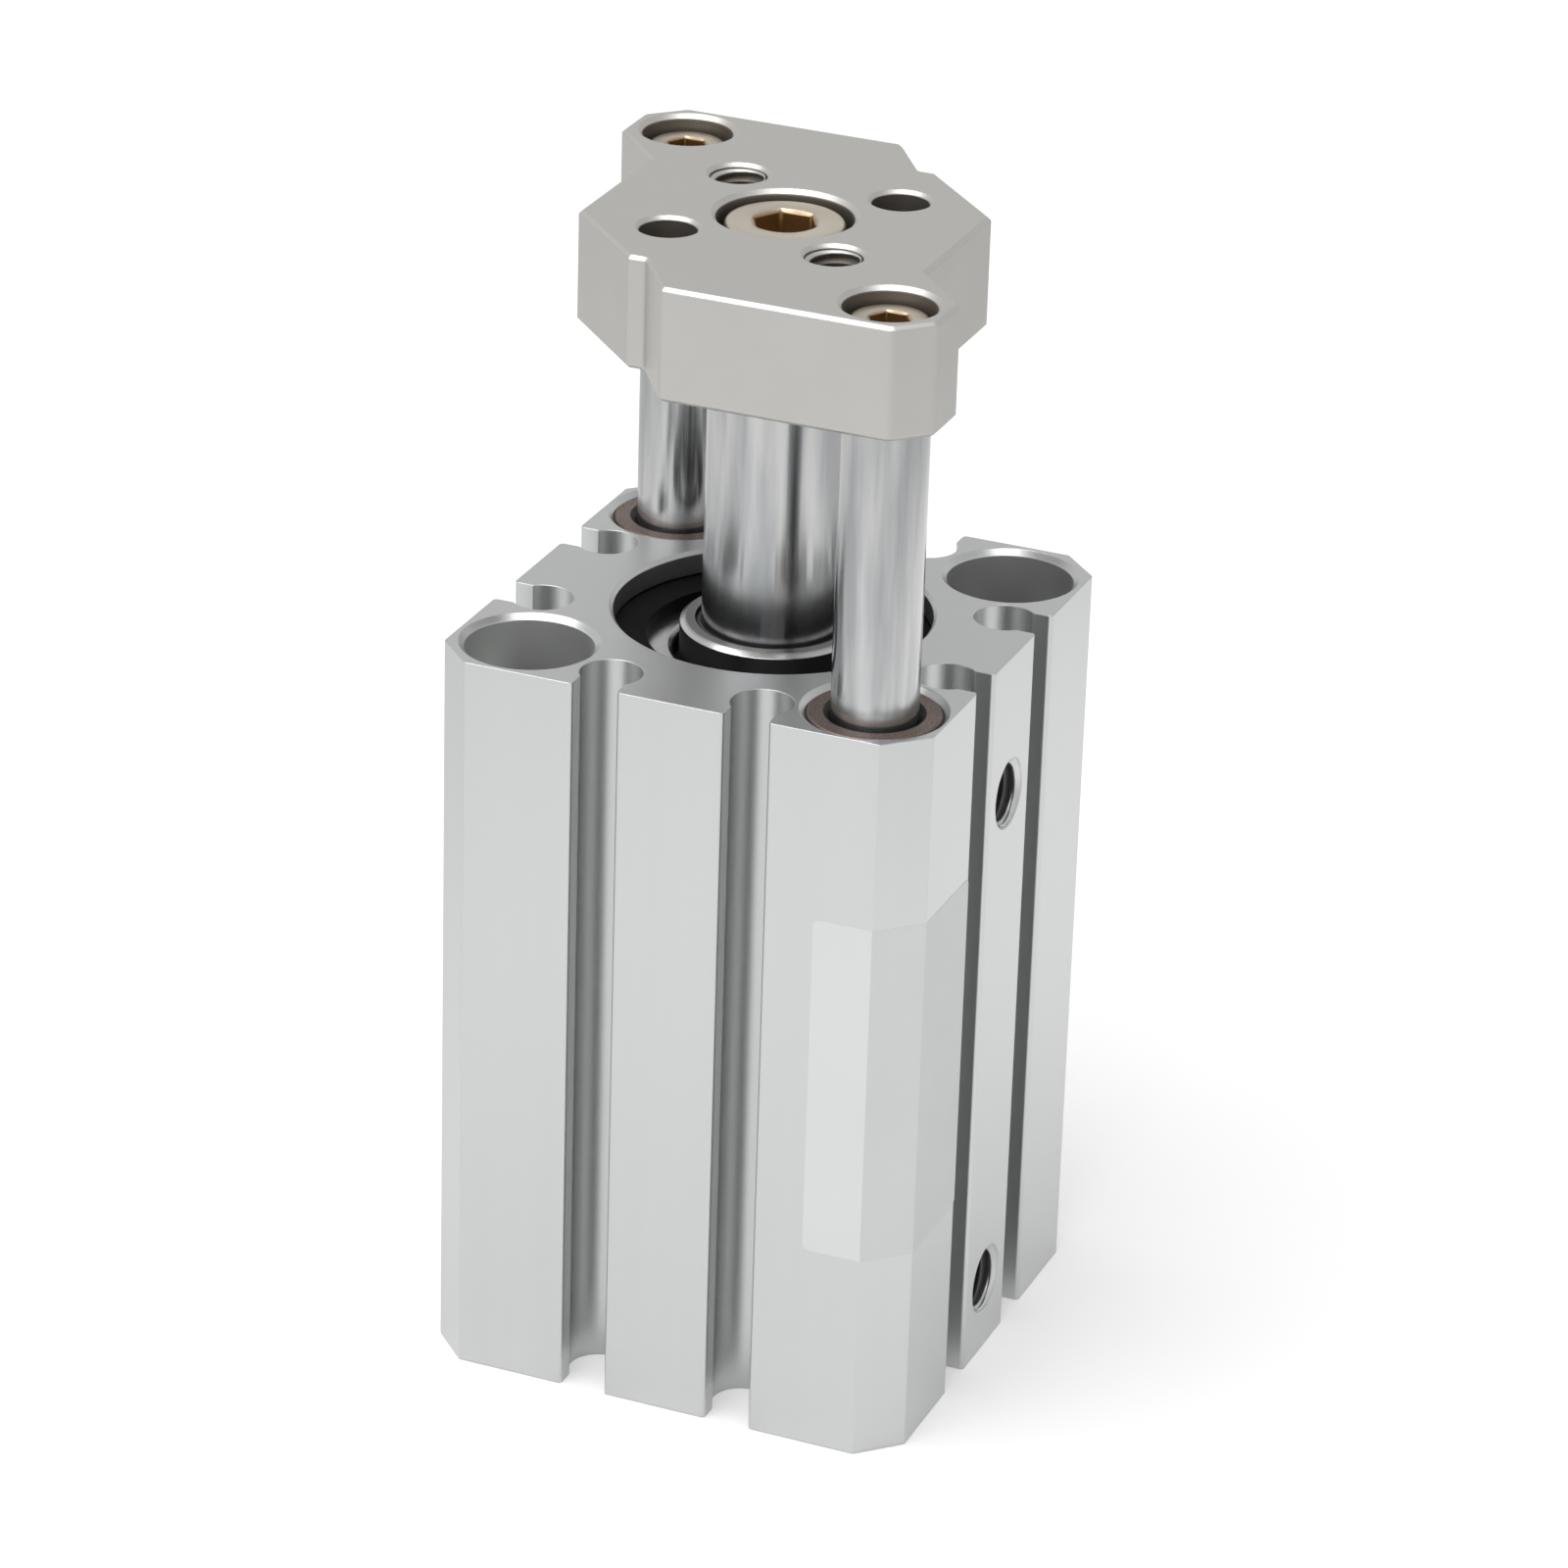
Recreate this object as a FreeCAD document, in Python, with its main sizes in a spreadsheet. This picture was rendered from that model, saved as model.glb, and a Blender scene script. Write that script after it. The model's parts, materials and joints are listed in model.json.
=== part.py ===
"""Compact guided pneumatic cylinder, bore 20 mm, stroke 25 mm.

A square extruded tube carries the bore, two guide bores with slide bushes, two through
mounting holes and eight switch grooves.  The piston rod and two guide rods carry a front
plate, so the plate cannot turn.  All sizes are millimetres.  The origin is the centre of
the tube's base, +Z runs along the rod towards the plate, +X faces the ports.
"""
import FreeCAD
import Part

import os

import Sketcher

# Driving dimensions: every cell of the sheet is one plain number with an alias.
DRIVING_DIMENSIONS = {
    # Extruded tube
    "body_width": 36.0,
    "body_height": 54.5,
    "corner_chamfer": 2.8,
    "hole_pitch": 25.5,
    # Switch grooves, two on each face
    "groove_offset": 5.55,
    "groove_mouth": 3.3,
    "groove_chamber_radius": 2.2,
    "groove_chamber_depth": 2.9,
    "groove_lip_radius": 0.3,
    # Bore, rod cover seat and snap ring groove
    "bore_radius": 10.0,
    "bore_floor": 4.2,
    "cover_seat_height": 49.15,
    "cover_seat_radius": 11.15,
    "mouth_chamfer": 0.25,
    "ring_groove_height": 51.65,
    "ring_groove_width": 1.1,
    "ring_groove_radius": 11.75,
    # Holes in the tube
    "mount_hole_diameter": 5.5,
    "mount_head_diameter": 9.0,
    "mount_head_depth": 7.0,
    "bush_pocket_diameter": 9.4,
    "bush_pocket_depth": 25.5,
    "guide_clear_diameter": 7.0,
    "rim_chamfer": 0.4,
    "port_low_height": 5.5,
    "port_high_height": 44.0,
    "port_tap_diameter": 5.0,
    "port_sink_diameter": 5.2,
    "port_depth": 5.0,
    "port_passage_diameter": 2.4,
    # Fits
    "running_gap": 0.03,
    "seated_gap": 0.01,
    "seal_gap": 0.02,
    "screw_clearance": 0.1,
    # How far cuts run past the solid, and proportions of small forms
    "cut_overrun": 1.0,
    "drill_point_slope": 0.5,
    "o_ring_flat_share": 0.5,
    "seal_lip_share": 0.33,
    "lug_taper_share": 0.33,
    # Rod cover
    "nose_height": 42.6,
    "nose_radius": 8.4,
    "spigot_height": 46.2,
    "boss_height": 53.75,
    "boss_radius": 6.5,
    "boss_chamfer_width": 0.4,
    "boss_chamfer_drop": 0.3,
    "boss_moat_radius": 6.95,
    "boss_moat_depth": 1.6,
    "boss_moat_chamfer": 0.35,
    "cover_ring_groove_low": 46.9,
    "cover_ring_groove_high": 48.6,
    "cover_ring_groove_radius": 8.6,
    "seal_chamber_low": 50.4,
    "seal_chamber_high": 52.9,
    "seal_chamber_radius": 5.95,
    "seal_mouth_radius": 5.45,
    "wiper_recess": 0.15,
    "wiper_slope": 0.2,
    "wiper_edge": 0.06,
    "wiper_gap": 0.08,
    "lip_land": 0.8,
    "lip_relief": 0.15,
    # Snap ring
    "snap_ring_thickness": 1.0,
    "snap_ring_radius": 11.65,
    "snap_ring_inner_radius": 8.8,
    "snap_ring_offset": 0.3,
    "snap_ring_gap": 6.0,
    "snap_ring_lug_width": 3.6,
    "snap_ring_lug_reach": 7.05,
    "snap_ring_eye_diameter": 1.6,
    "snap_ring_eye_setback": 1.6,
    "snap_ring_turn": 22.0,
    # Rods
    "stroke": 25.0,
    "rest_extension": 16.5,
    "retracted_gap": 4.5,
    "rod_radius": 5.0,
    "rod_spigot_radius": 3.0,
    "rod_rivet_radius": 3.7,
    "rod_rivet_height": 0.7,
    "guide_rod_radius": 3.0,
    "guide_rod_foot": 17.5,
    "guide_rod_register": 1.2,
    "rod_end_chamfer": 0.4,
    "bush_length": 8.0,
    "bush_lead": 0.45,
    "bush_recess": 0.2,
    # Piston, measured from the face of its head side bumper
    "stop_gap": 0.02,
    "bumper_height": 1.2,
    "bumper_proud": 0.6,
    "head_bumper_inner_radius": 4.6,
    "head_bumper_outer_radius": 7.4,
    "rod_bumper_inner_radius": 5.4,
    "rod_bumper_outer_radius": 8.0,
    "piston_radius": 9.9,
    "piston_neck_radius": 8.6,
    "piston_neck_height": 2.0,
    "piston_split": 8.0,
    "magnet_height": 2.0,
    "magnet_inner_radius": 6.6,
    "magnet_outer_radius": 9.3,
    "wear_ring_low": 2.7,
    "wear_ring_high": 5.3,
    "wear_ring_inner_radius": 9.0,
    "wear_ring_split": 0.8,
    "piston_seal_low": 8.9,
    "piston_seal_high": 11.7,
    "piston_seal_inner_radius": 7.4,
    "rod_ring_section": 1.1,
    # Front plate
    "plate_thickness": 8.0,
    "plate_half_width": 12.7,
    "plate_half_length": 16.9,
    "plate_corner_clearance": 5.0,
    "plate_shelf": 12.3,
    "plate_shelf_end": 4.85,
    "plate_step_width": 3.1,
    "plate_ear_side": 10.8,
    "plate_ear_chamfer": 2.4,
    "plate_edge_chamfer": 0.25,
    "plate_root_radius": 0.5,
    "plate_crest_radius": 0.4,
    "plate_ear_radius": 0.8,
    "face_hole_offset": 6.0,
    "face_tap_diameter": 4.0,
    "face_plain_diameter": 4.0,
    "face_sink_diameter": 4.5,
    # Cap screws: rod screw M5, guide screws M3
    "rod_screw_radius": 2.5,
    "rod_screw_head_radius": 4.15,
    "rod_screw_head_height": 5.0,
    "rod_screw_key": 4.0,
    "rod_screw_key_depth": 2.5,
    "rod_screw_length": 14.0,
    "pocket_chamfer": 0.35,
    "rod_screw_pocket_radius": 4.7,
    "rod_screw_pocket_depth": 5.5,
    "guide_screw_radius": 1.5,
    "guide_screw_head_radius": 2.7,
    "guide_screw_head_height": 3.0,
    "guide_screw_key": 2.5,
    "guide_screw_key_depth": 1.5,
    "guide_screw_length": 10.0,
    "guide_screw_pocket_radius": 3.15,
    "guide_screw_pocket_depth": 4.0,
    "screw_edge_chamfer": 0.3,
    "thread_end_gap": 1.5,
}


class Size:
    """A length that keeps the sheet expression it comes from."""

    def __init__(self, value, text):
        self.value = float(value)
        self.text = text

    @staticmethod
    def of(other):
        """Wrap a plain number, such as a factor of two, as a size."""
        return other if isinstance(other, Size) else Size(other, str(other))

    def __add__(self, other):
        other = Size.of(other)
        return Size(self.value + other.value, f"({self.text} + {other.text})")

    def __sub__(self, other):
        other = Size.of(other)
        return Size(self.value - other.value, f"({self.text} - {other.text})")

    def __mul__(self, other):
        other = Size.of(other)
        return Size(self.value * other.value, f"({self.text} * {other.text})")

    def __truediv__(self, other):
        other = Size.of(other)
        return Size(self.value / other.value, f"({self.text} / {other.text})")

    def __neg__(self):
        return Size(-self.value, f"(0 - {self.text})")


def make_sheet(doc):
    """Write the driving dimensions into a sheet and return them as sizes."""
    sheet = doc.addObject("Spreadsheet::Sheet", "dims")
    sizes = {}
    for row, (alias, number) in enumerate(DRIVING_DIMENSIONS.items(), start=1):
        sheet.set(f"A{row}", alias)
        sheet.set(f"B{row}", str(number))
        sheet.setAlias(f"B{row}", alias)
        sizes[alias] = Size(number, f"dims.{alias}")
    doc.recompute()
    return sizes


doc = FreeCAD.newDocument("guided_cylinder")
D = make_sheet(doc)
ZERO = Size(0, "0")

# Derived sizes used by several pieces
HALF_WIDTH = D["body_width"] / 2
HALF_PITCH = D["hole_pitch"] / 2
PLATE_BASE = D["body_height"] + D["retracted_gap"] + D["rest_extension"]
PLATE_TOP = PLATE_BASE + D["plate_thickness"]
PISTON_BASE = D["bore_floor"] + D["rest_extension"] + D["stop_gap"]
PISTON_LENGTH = D["nose_height"] - D["bore_floor"] - D["stroke"] - D["stop_gap"] * 2
ROD_SHOULDER = PISTON_LENGTH - D["bumper_height"]
ROD_SCREW_SEAT = PLATE_TOP - D["rod_screw_pocket_depth"]
GUIDE_SCREW_SEAT = PLATE_TOP - D["guide_screw_pocket_depth"]
FRONT_GUIDE = (HALF_PITCH, -HALF_PITCH)
REAR_GUIDE = (-HALF_PITCH, HALF_PITCH)


# ---------------------------------------------------------------- document helpers

def new_body(name, x=ZERO, y=ZERO, z=ZERO):
    """Add a body whose placement is bound to the sheet."""
    body = doc.addObject("PartDesign::Body", name)
    body.Label = name
    for axis, size in zip("xyz", (x, y, z)):
        body.setExpression(f".Placement.Base.{axis}", size.text)
    return body


def origin_feature(body, role):
    """Find one of a body's own origin planes or axes."""
    return next(item for item in body.Origin.OriginFeatures if item.Role == role)


def new_sketch(body, name, role, offset=ZERO):
    """Attach a sketch to an origin plane of its body, moved along the plane's normal."""
    sketch = body.newObject("Sketcher::SketchObject", name)
    sketch.AttachmentSupport = [(origin_feature(body, role), "")]
    sketch.MapMode = "FlatFace"
    sketch.setExpression(".AttachmentOffset.Base.z", offset.text)
    return sketch


def bind_point(sketch, geometry, position, x, y):
    """Dimension a point of a sketch from the origin along both axes."""
    for kind, size, axis in (("DistanceX", x, -2), ("DistanceY", y, -1)):
        if size.value == 0:
            sketch.addConstraint(Sketcher.Constraint("PointOnObject", geometry, position, axis))
            continue
        rule = Sketcher.Constraint(kind, -1, 1, geometry, position, size.value)
        index = sketch.addConstraint(rule)
        sketch.setExpression(f"Constraints[{index}]", size.text)


def draw_outline(sketch, corners):
    """Draw a closed outline of straight lines through dimensioned corners."""
    first = sketch.GeometryCount
    count = len(corners)
    points = [FreeCAD.Vector(x.value, y.value, 0) for x, y in corners]
    for index in range(count):
        sketch.addGeometry(Part.LineSegment(points[index], points[(index + 1) % count]))
    for index in range(count):
        following = first + (index + 1) % count
        sketch.addConstraint(Sketcher.Constraint("Coincident", first + index, 2, following, 1))
    for index, (x, y) in enumerate(corners):
        bind_point(sketch, first + index, 1, x, y)


def draw_circle(sketch, x, y, radius):
    """Draw a dimensioned circle."""
    centre = FreeCAD.Vector(x.value, y.value, 0)
    circle = Part.Circle(centre, FreeCAD.Vector(0, 0, 1), radius.value)
    index = sketch.addGeometry(circle)
    bind_point(sketch, index, 3, x, y)
    rule = sketch.addConstraint(Sketcher.Constraint("Radius", index, radius.value))
    sketch.setExpression(f"Constraints[{rule}]", radius.text)


def rectangle(low_x, low_y, high_x, high_y):
    """Corners of an upright rectangle."""
    return [(low_x, low_y), (high_x, low_y), (high_x, high_y), (low_x, high_y)]


def pad(body, sketch, length):
    """Extrude a sketch along its normal."""
    feature = body.newObject("PartDesign::Pad", sketch.Name + "_pad")
    feature.Profile = sketch
    feature.setExpression("Length", length.text)
    return feature


def pocket(body, sketch, depth=None, towards_normal=False):
    """Cut a sketch into the solid, right through where no depth is given."""
    feature = body.newObject("PartDesign::Pocket", sketch.Name + "_cut")
    feature.Profile = sketch
    feature.Reversed = towards_normal
    if depth is None:
        feature.Type = "ThroughAll"
    else:
        feature.setExpression("Length", depth.text)
    return feature


def revolve(body, name, corners, cut=False):
    """Turn a half section in the XZ plane about the Z axis, as a solid or a cut."""
    sketch = new_sketch(body, name, "XZ_Plane")
    draw_outline(sketch, corners)
    kind = "PartDesign::Groove" if cut else "PartDesign::Revolution"
    feature = body.newObject(kind, name + "_turned")
    feature.Profile = sketch
    feature.ReferenceAxis = (sketch, ["V_Axis"])
    feature.Angle = 360.0
    return feature


def drill(body, sketch, diameter, head=None, head_depth=None, depth=None, sink=None):
    """Drill the circles of a sketch, with a counterbore or a countersink."""
    doc.recompute()
    feature = body.newObject("PartDesign::Hole", sketch.Name + "_hole")
    feature.Profile = sketch
    feature.setExpression("Diameter", diameter.text)
    feature.DrillPoint = "Flat"
    if depth is None:
        feature.DepthType = "ThroughAll"
    else:
        feature.DepthType = "Dimension"
        feature.setExpression("Depth", depth.text)
    if head is not None:
        feature.HoleCutType = "Counterbore"
        feature.setExpression("HoleCutDiameter", head.text)
        feature.setExpression("HoleCutDepth", head_depth.text)
    if sink is not None:
        feature.HoleCutType = "Countersink"
        feature.setExpression("HoleCutDiameter", sink.text)
        feature.HoleCutCountersinkAngle = 90.0
    doc.recompute()
    return feature


def edge_names(feature, wanted):
    """Names of the edges of a feature that pass a test."""
    doc.recompute()
    edges = feature.Shape.Edges
    return [f"Edge{number}" for number, edge in enumerate(edges, start=1) if wanted(edge)]


def dress_edges(body, kind, feature, wanted, size):
    """Chamfer or fillet the edges of a feature that pass a test."""
    names = edge_names(feature, wanted)
    dressed = body.newObject("PartDesign::" + kind, feature.Name + "_" + kind.lower())
    dressed.Base = (feature, names)
    dressed.setExpression("Size" if kind == "Chamfer" else "Radius", size.text)
    return dressed


def is_circle_at(height, radii):
    """Test for full circles at a height with one of some radii."""
    def wanted(edge):
        if not isinstance(edge.Curve, Part.Circle):
            return False
        level = abs(edge.Curve.Center.z - height.value) < 1e-4
        return level and any(abs(edge.Curve.Radius - radius.value) < 1e-4 for radius in radii)
    return wanted


def is_upright_at(corner):
    """Test for upright edges through a corner or its twin on the far side."""
    def wanted(edge):
        if not isinstance(edge.Curve, Part.Line) or abs(edge.tangentAt(0).z) < 0.5:
            return False
        middle = edge.CenterOfMass
        return any(abs(middle.x - side * corner[0].value) < 1e-3
                   and abs(middle.y - side * corner[1].value) < 1e-3 for side in (-1, 1))
    return wanted


# ---------------------------------------------------------------- barrel pieces

def make_cylinder_tube():
    """Square extrusion with a blind bore, grooves, ports and through holes."""
    body = new_body("cylinder_tube")
    half = HALF_WIDTH
    cut = half - D["corner_chamfer"]
    section = new_sketch(body, "tube_section", "XY_Plane")
    draw_outline(section, [(-cut, -half), (cut, -half), (half, -cut), (half, cut),
                           (cut, half), (-cut, half), (-half, cut), (-half, -cut)])
    pad(body, section, D["body_height"])

    # Two switch grooves in the -Y face: a straight mouth over a round chamber.
    mouths = new_sketch(body, "groove_mouths", "XY_Plane")
    chambers = new_sketch(body, "groove_chambers", "XY_Plane")
    chamber_y = -half + D["groove_chamber_depth"]
    for side in (-1, 1):
        centre = D["groove_offset"] * side
        reach = D["groove_mouth"] / 2
        draw_outline(mouths, rectangle(centre - reach, -half - D["cut_overrun"],
                                       centre + reach, chamber_y))
        draw_circle(chambers, centre, chamber_y, D["groove_chamber_radius"])
    cuts = [pocket(body, mouths, towards_normal=True), pocket(body, chambers, towards_normal=True)]
    around = body.newObject("PartDesign::PolarPattern", "grooves_on_four_faces")
    around.Originals = cuts
    around.Axis = (origin_feature(body, "Z_Axis"), [""])
    around.Angle = 360.0
    around.Occurrences = 4
    body.Tip = around

    # Rounded lips along the mouths.
    inner = D["groove_offset"].value - D["groove_mouth"].value / 2
    outer = D["groove_offset"].value + D["groove_mouth"].value / 2

    def is_lip(edge):
        if not isinstance(edge.Curve, Part.Line):
            return False
        middle = edge.CenterOfMass
        across, along = sorted((abs(middle.x), abs(middle.y)))
        on_face = abs(along - half.value) < 1e-4
        return on_face and min(abs(across - inner), abs(across - outer)) < 1e-4

    lips = dress_edges(body, "Fillet", around, is_lip, D["groove_lip_radius"])
    body.Tip = lips

    # Bore, rod cover seat, snap ring groove and chamfered mouth in one turned cut.
    top = D["body_height"]
    seat = D["cover_seat_radius"]
    ring_top = D["ring_groove_height"] + D["ring_groove_width"]
    revolve(body, "bore_section", [
        (ZERO, D["bore_floor"]), (D["bore_radius"], D["bore_floor"]),
        (D["bore_radius"], D["cover_seat_height"]), (seat, D["cover_seat_height"]),
        (seat, D["ring_groove_height"]), (D["ring_groove_radius"], D["ring_groove_height"]),
        (D["ring_groove_radius"], ring_top), (seat, ring_top),
        (seat, top - D["mouth_chamfer"]), (seat + D["mouth_chamfer"], top), (ZERO, top)],
        cut=True)

    # Through holes for mounting screws, with a counterbore at each end.
    mounting = new_sketch(body, "mounting_holes", "XY_Plane", top)
    feet = new_sketch(body, "mounting_feet", "XY_Plane")
    guides = new_sketch(body, "guide_bores", "XY_Plane", top)
    for side in (-1, 1):
        place = HALF_PITCH * side
        draw_circle(mounting, place, place, D["mount_hole_diameter"] / 2)
        draw_circle(feet, place, place, D["mount_head_diameter"] / 2)
        draw_circle(guides, place, -place, D["guide_clear_diameter"] / 2)
    drill(body, mounting, D["mount_hole_diameter"], D["mount_head_diameter"], D["mount_head_depth"])
    pocket(body, feet, D["mount_head_depth"], towards_normal=True)
    drill(body, guides, D["guide_clear_diameter"], D["bush_pocket_diameter"], D["bush_pocket_depth"])

    # Ports on the +X face, each with a narrow passage into the bore.
    ports = new_sketch(body, "ports", "YZ_Plane", half)
    passages = new_sketch(body, "port_passages", "YZ_Plane", half)
    for height in (D["port_low_height"], D["port_high_height"]):
        draw_circle(ports, ZERO, height, D["port_tap_diameter"] / 2)
        draw_circle(passages, ZERO, height, D["port_passage_diameter"] / 2)
    drill(body, ports, D["port_tap_diameter"], depth=D["port_depth"], sink=D["port_sink_diameter"])
    last = pocket(body, passages, half - D["bore_radius"] + D["cut_overrun"])

    # Bright chamfered rims of the corner holes, at both ends.
    head = D["mount_head_diameter"] / 2
    bush = D["bush_pocket_diameter"] / 2
    clear = D["guide_clear_diameter"] / 2
    at_top = is_circle_at(top, (head, bush))
    at_base = is_circle_at(ZERO, (head, clear))
    dress_edges(body, "Chamfer", last, lambda edge: at_top(edge) or at_base(edge), D["rim_chamfer"])
    return body


def make_rod_cover():
    """Turned cover: flange on the seat, sealed spigot, short nose and raised boss."""
    body = new_body("rod_cover")
    inner = D["rod_radius"] + D["running_gap"]
    spigot = D["bore_radius"] - D["seated_gap"]
    flange = D["cover_seat_radius"] - D["seated_gap"]
    seat = D["cover_seat_height"]
    top = D["ring_groove_height"]
    groove = D["cover_ring_groove_radius"]
    low = D["cover_ring_groove_low"]
    high = D["cover_ring_groove_high"]
    rim = D["boss_moat_radius"]
    moat = top - D["boss_moat_depth"]
    boss = D["boss_radius"]
    shoulder = D["boss_height"] - D["boss_chamfer_drop"]
    chamber = D["seal_chamber_radius"]
    lip = D["seal_mouth_radius"]
    revolve(body, "cover_section", [
        (inner, D["nose_height"]), (D["nose_radius"], D["nose_height"]),
        (D["nose_radius"], D["spigot_height"]), (spigot, D["spigot_height"]),
        (spigot, low), (groove, low), (groove, high), (spigot, high), (spigot, seat),
        (flange, seat), (flange, top), (rim + D["boss_moat_chamfer"], top),
        (rim, top - D["boss_moat_chamfer"]), (rim, moat), (boss, moat), (boss, shoulder),
        (boss - D["boss_chamfer_width"], D["boss_height"]), (lip, D["boss_height"]),
        (lip, D["seal_chamber_high"]), (chamber, D["seal_chamber_high"]),
        (chamber, D["seal_chamber_low"]), (inner, D["seal_chamber_low"])])
    return body


def make_o_ring(name, inner, outer, height):
    """O-ring squeezed in its groove: flat where it seals, bulging to a ridge at each side."""
    body = new_body(name, z=height)
    half = (outer - inner) / 2
    flat = half * D["o_ring_flat_share"]
    middle = inner + half
    revolve(body, name + "_section", [
        (inner, -flat), (middle, -half), (outer, -flat),
        (outer, flat), (middle, half), (inner, flat)])
    return body


def make_cover_o_ring():
    """Static seal between the rod cover and the bore."""
    height = (D["cover_ring_groove_low"] + D["cover_ring_groove_high"]) / 2
    return make_o_ring("rod_cover_o_ring", D["cover_ring_groove_radius"] + D["seated_gap"],
                       D["bore_radius"] - D["seated_gap"], height)


def make_rod_seal():
    """Rod seal with a wiping lip at its top and a pressure lip below."""
    low = D["seal_chamber_low"]
    high = D["seal_chamber_high"]
    body = new_body("rod_seal")
    outer = D["seal_chamber_radius"] - D["seated_gap"]
    lip = D["rod_radius"] + D["seal_gap"]
    throat = lip + D["lip_relief"]
    wiper = D["boss_height"] - D["wiper_recess"]
    mouth = D["seal_mouth_radius"] - D["wiper_gap"]
    revolve(body, "seal_section", [
        (lip, low), (outer, low), (outer, high), (mouth, high), (mouth, wiper - D["wiper_slope"]),
        (lip + D["wiper_edge"], wiper), (lip, wiper - D["wiper_edge"]),
        (throat, high), (throat, low + D["lip_land"])])
    return body


def make_snap_ring():
    """Internal snap ring: tapered arms, a gap and two lugs with tool eyes."""
    body = new_body("rod_cover_snap_ring", z=D["ring_groove_height"])
    body.setExpression(".Placement.Rotation.Angle", D["snap_ring_turn"].text)
    thickness = D["snap_ring_thickness"]
    arms = new_sketch(body, "ring_arms", "XY_Plane")
    draw_circle(arms, ZERO, ZERO, D["snap_ring_radius"])
    draw_circle(arms, ZERO, -D["snap_ring_offset"], D["snap_ring_inner_radius"])
    pad(body, arms, thickness)
    lugs = new_sketch(body, "ring_lugs", "XY_Plane")
    eyes = new_sketch(body, "ring_eyes", "XY_Plane")
    rim = D["snap_ring_inner_radius"] + D["snap_ring_offset"]
    reach = D["snap_ring_lug_reach"]
    width = D["snap_ring_lug_width"]
    edge = D["snap_ring_gap"] / 2
    nose = width * D["lug_taper_share"]
    for side in (-1, 1):
        near = edge * side
        far = (edge + width) * side
        draw_outline(lugs, [
            (near, -rim), (near, -reach), ((edge + width - nose) * side, -reach),
            (far, -reach - nose), ((edge + width + nose) * side, -rim + nose)])
        draw_circle(eyes, (near + far) / 2, -reach - D["snap_ring_eye_setback"],
                    D["snap_ring_eye_diameter"] / 2)
    pad(body, lugs, thickness)
    gap = new_sketch(body, "ring_gap", "XY_Plane")
    overrun = D["cut_overrun"]
    draw_outline(gap, rectangle(-edge, -D["snap_ring_radius"] - overrun, edge, overrun - reach))
    pocket(body, gap, towards_normal=True)
    pocket(body, eyes, towards_normal=True)
    return body


def make_guide_bush(name, place, top):
    """Sintered slide bush with a lead-in chamfer at both ends of its bore."""
    body = new_body(name, place[0], place[1], top - D["bush_length"])
    inner = D["guide_rod_radius"] + D["running_gap"]
    outer = D["bush_pocket_diameter"] / 2 - D["seated_gap"]
    lead = D["bush_lead"]
    edge = D["rod_end_chamfer"] / 2
    length = D["bush_length"]
    revolve(body, name + "_section", [
        (inner, lead), (inner + lead, ZERO), (outer, ZERO), (outer, length - edge),
        (outer - edge, length), (inner + lead, length), (inner, length - lead)])
    return body


# ---------------------------------------------------------------- moving pieces

def plate_half_outline():
    """Half of the plate's outline; the other half is the same turned by 180 degrees."""
    width = D["plate_half_width"]
    length = D["plate_half_length"]
    # The corner cut is a 45 degree line that passes the mounting hole at a set distance.
    reach = D["hole_pitch"] - D["plate_corner_clearance"] * Size(2 ** 0.5, "sqrt(2)")
    shelf = D["plate_shelf"]
    shelf_end = D["plate_shelf_end"]
    corner = D["plate_ear_chamfer"]
    ear = D["plate_ear_side"]
    return [(-width, width - reach), (shelf - reach, -shelf), (-shelf_end, -shelf),
            (-shelf_end + D["plate_step_width"], -length), (length - corner, -length),
            (length, -length + corner), (length, -ear), (width, ear - length)]


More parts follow.
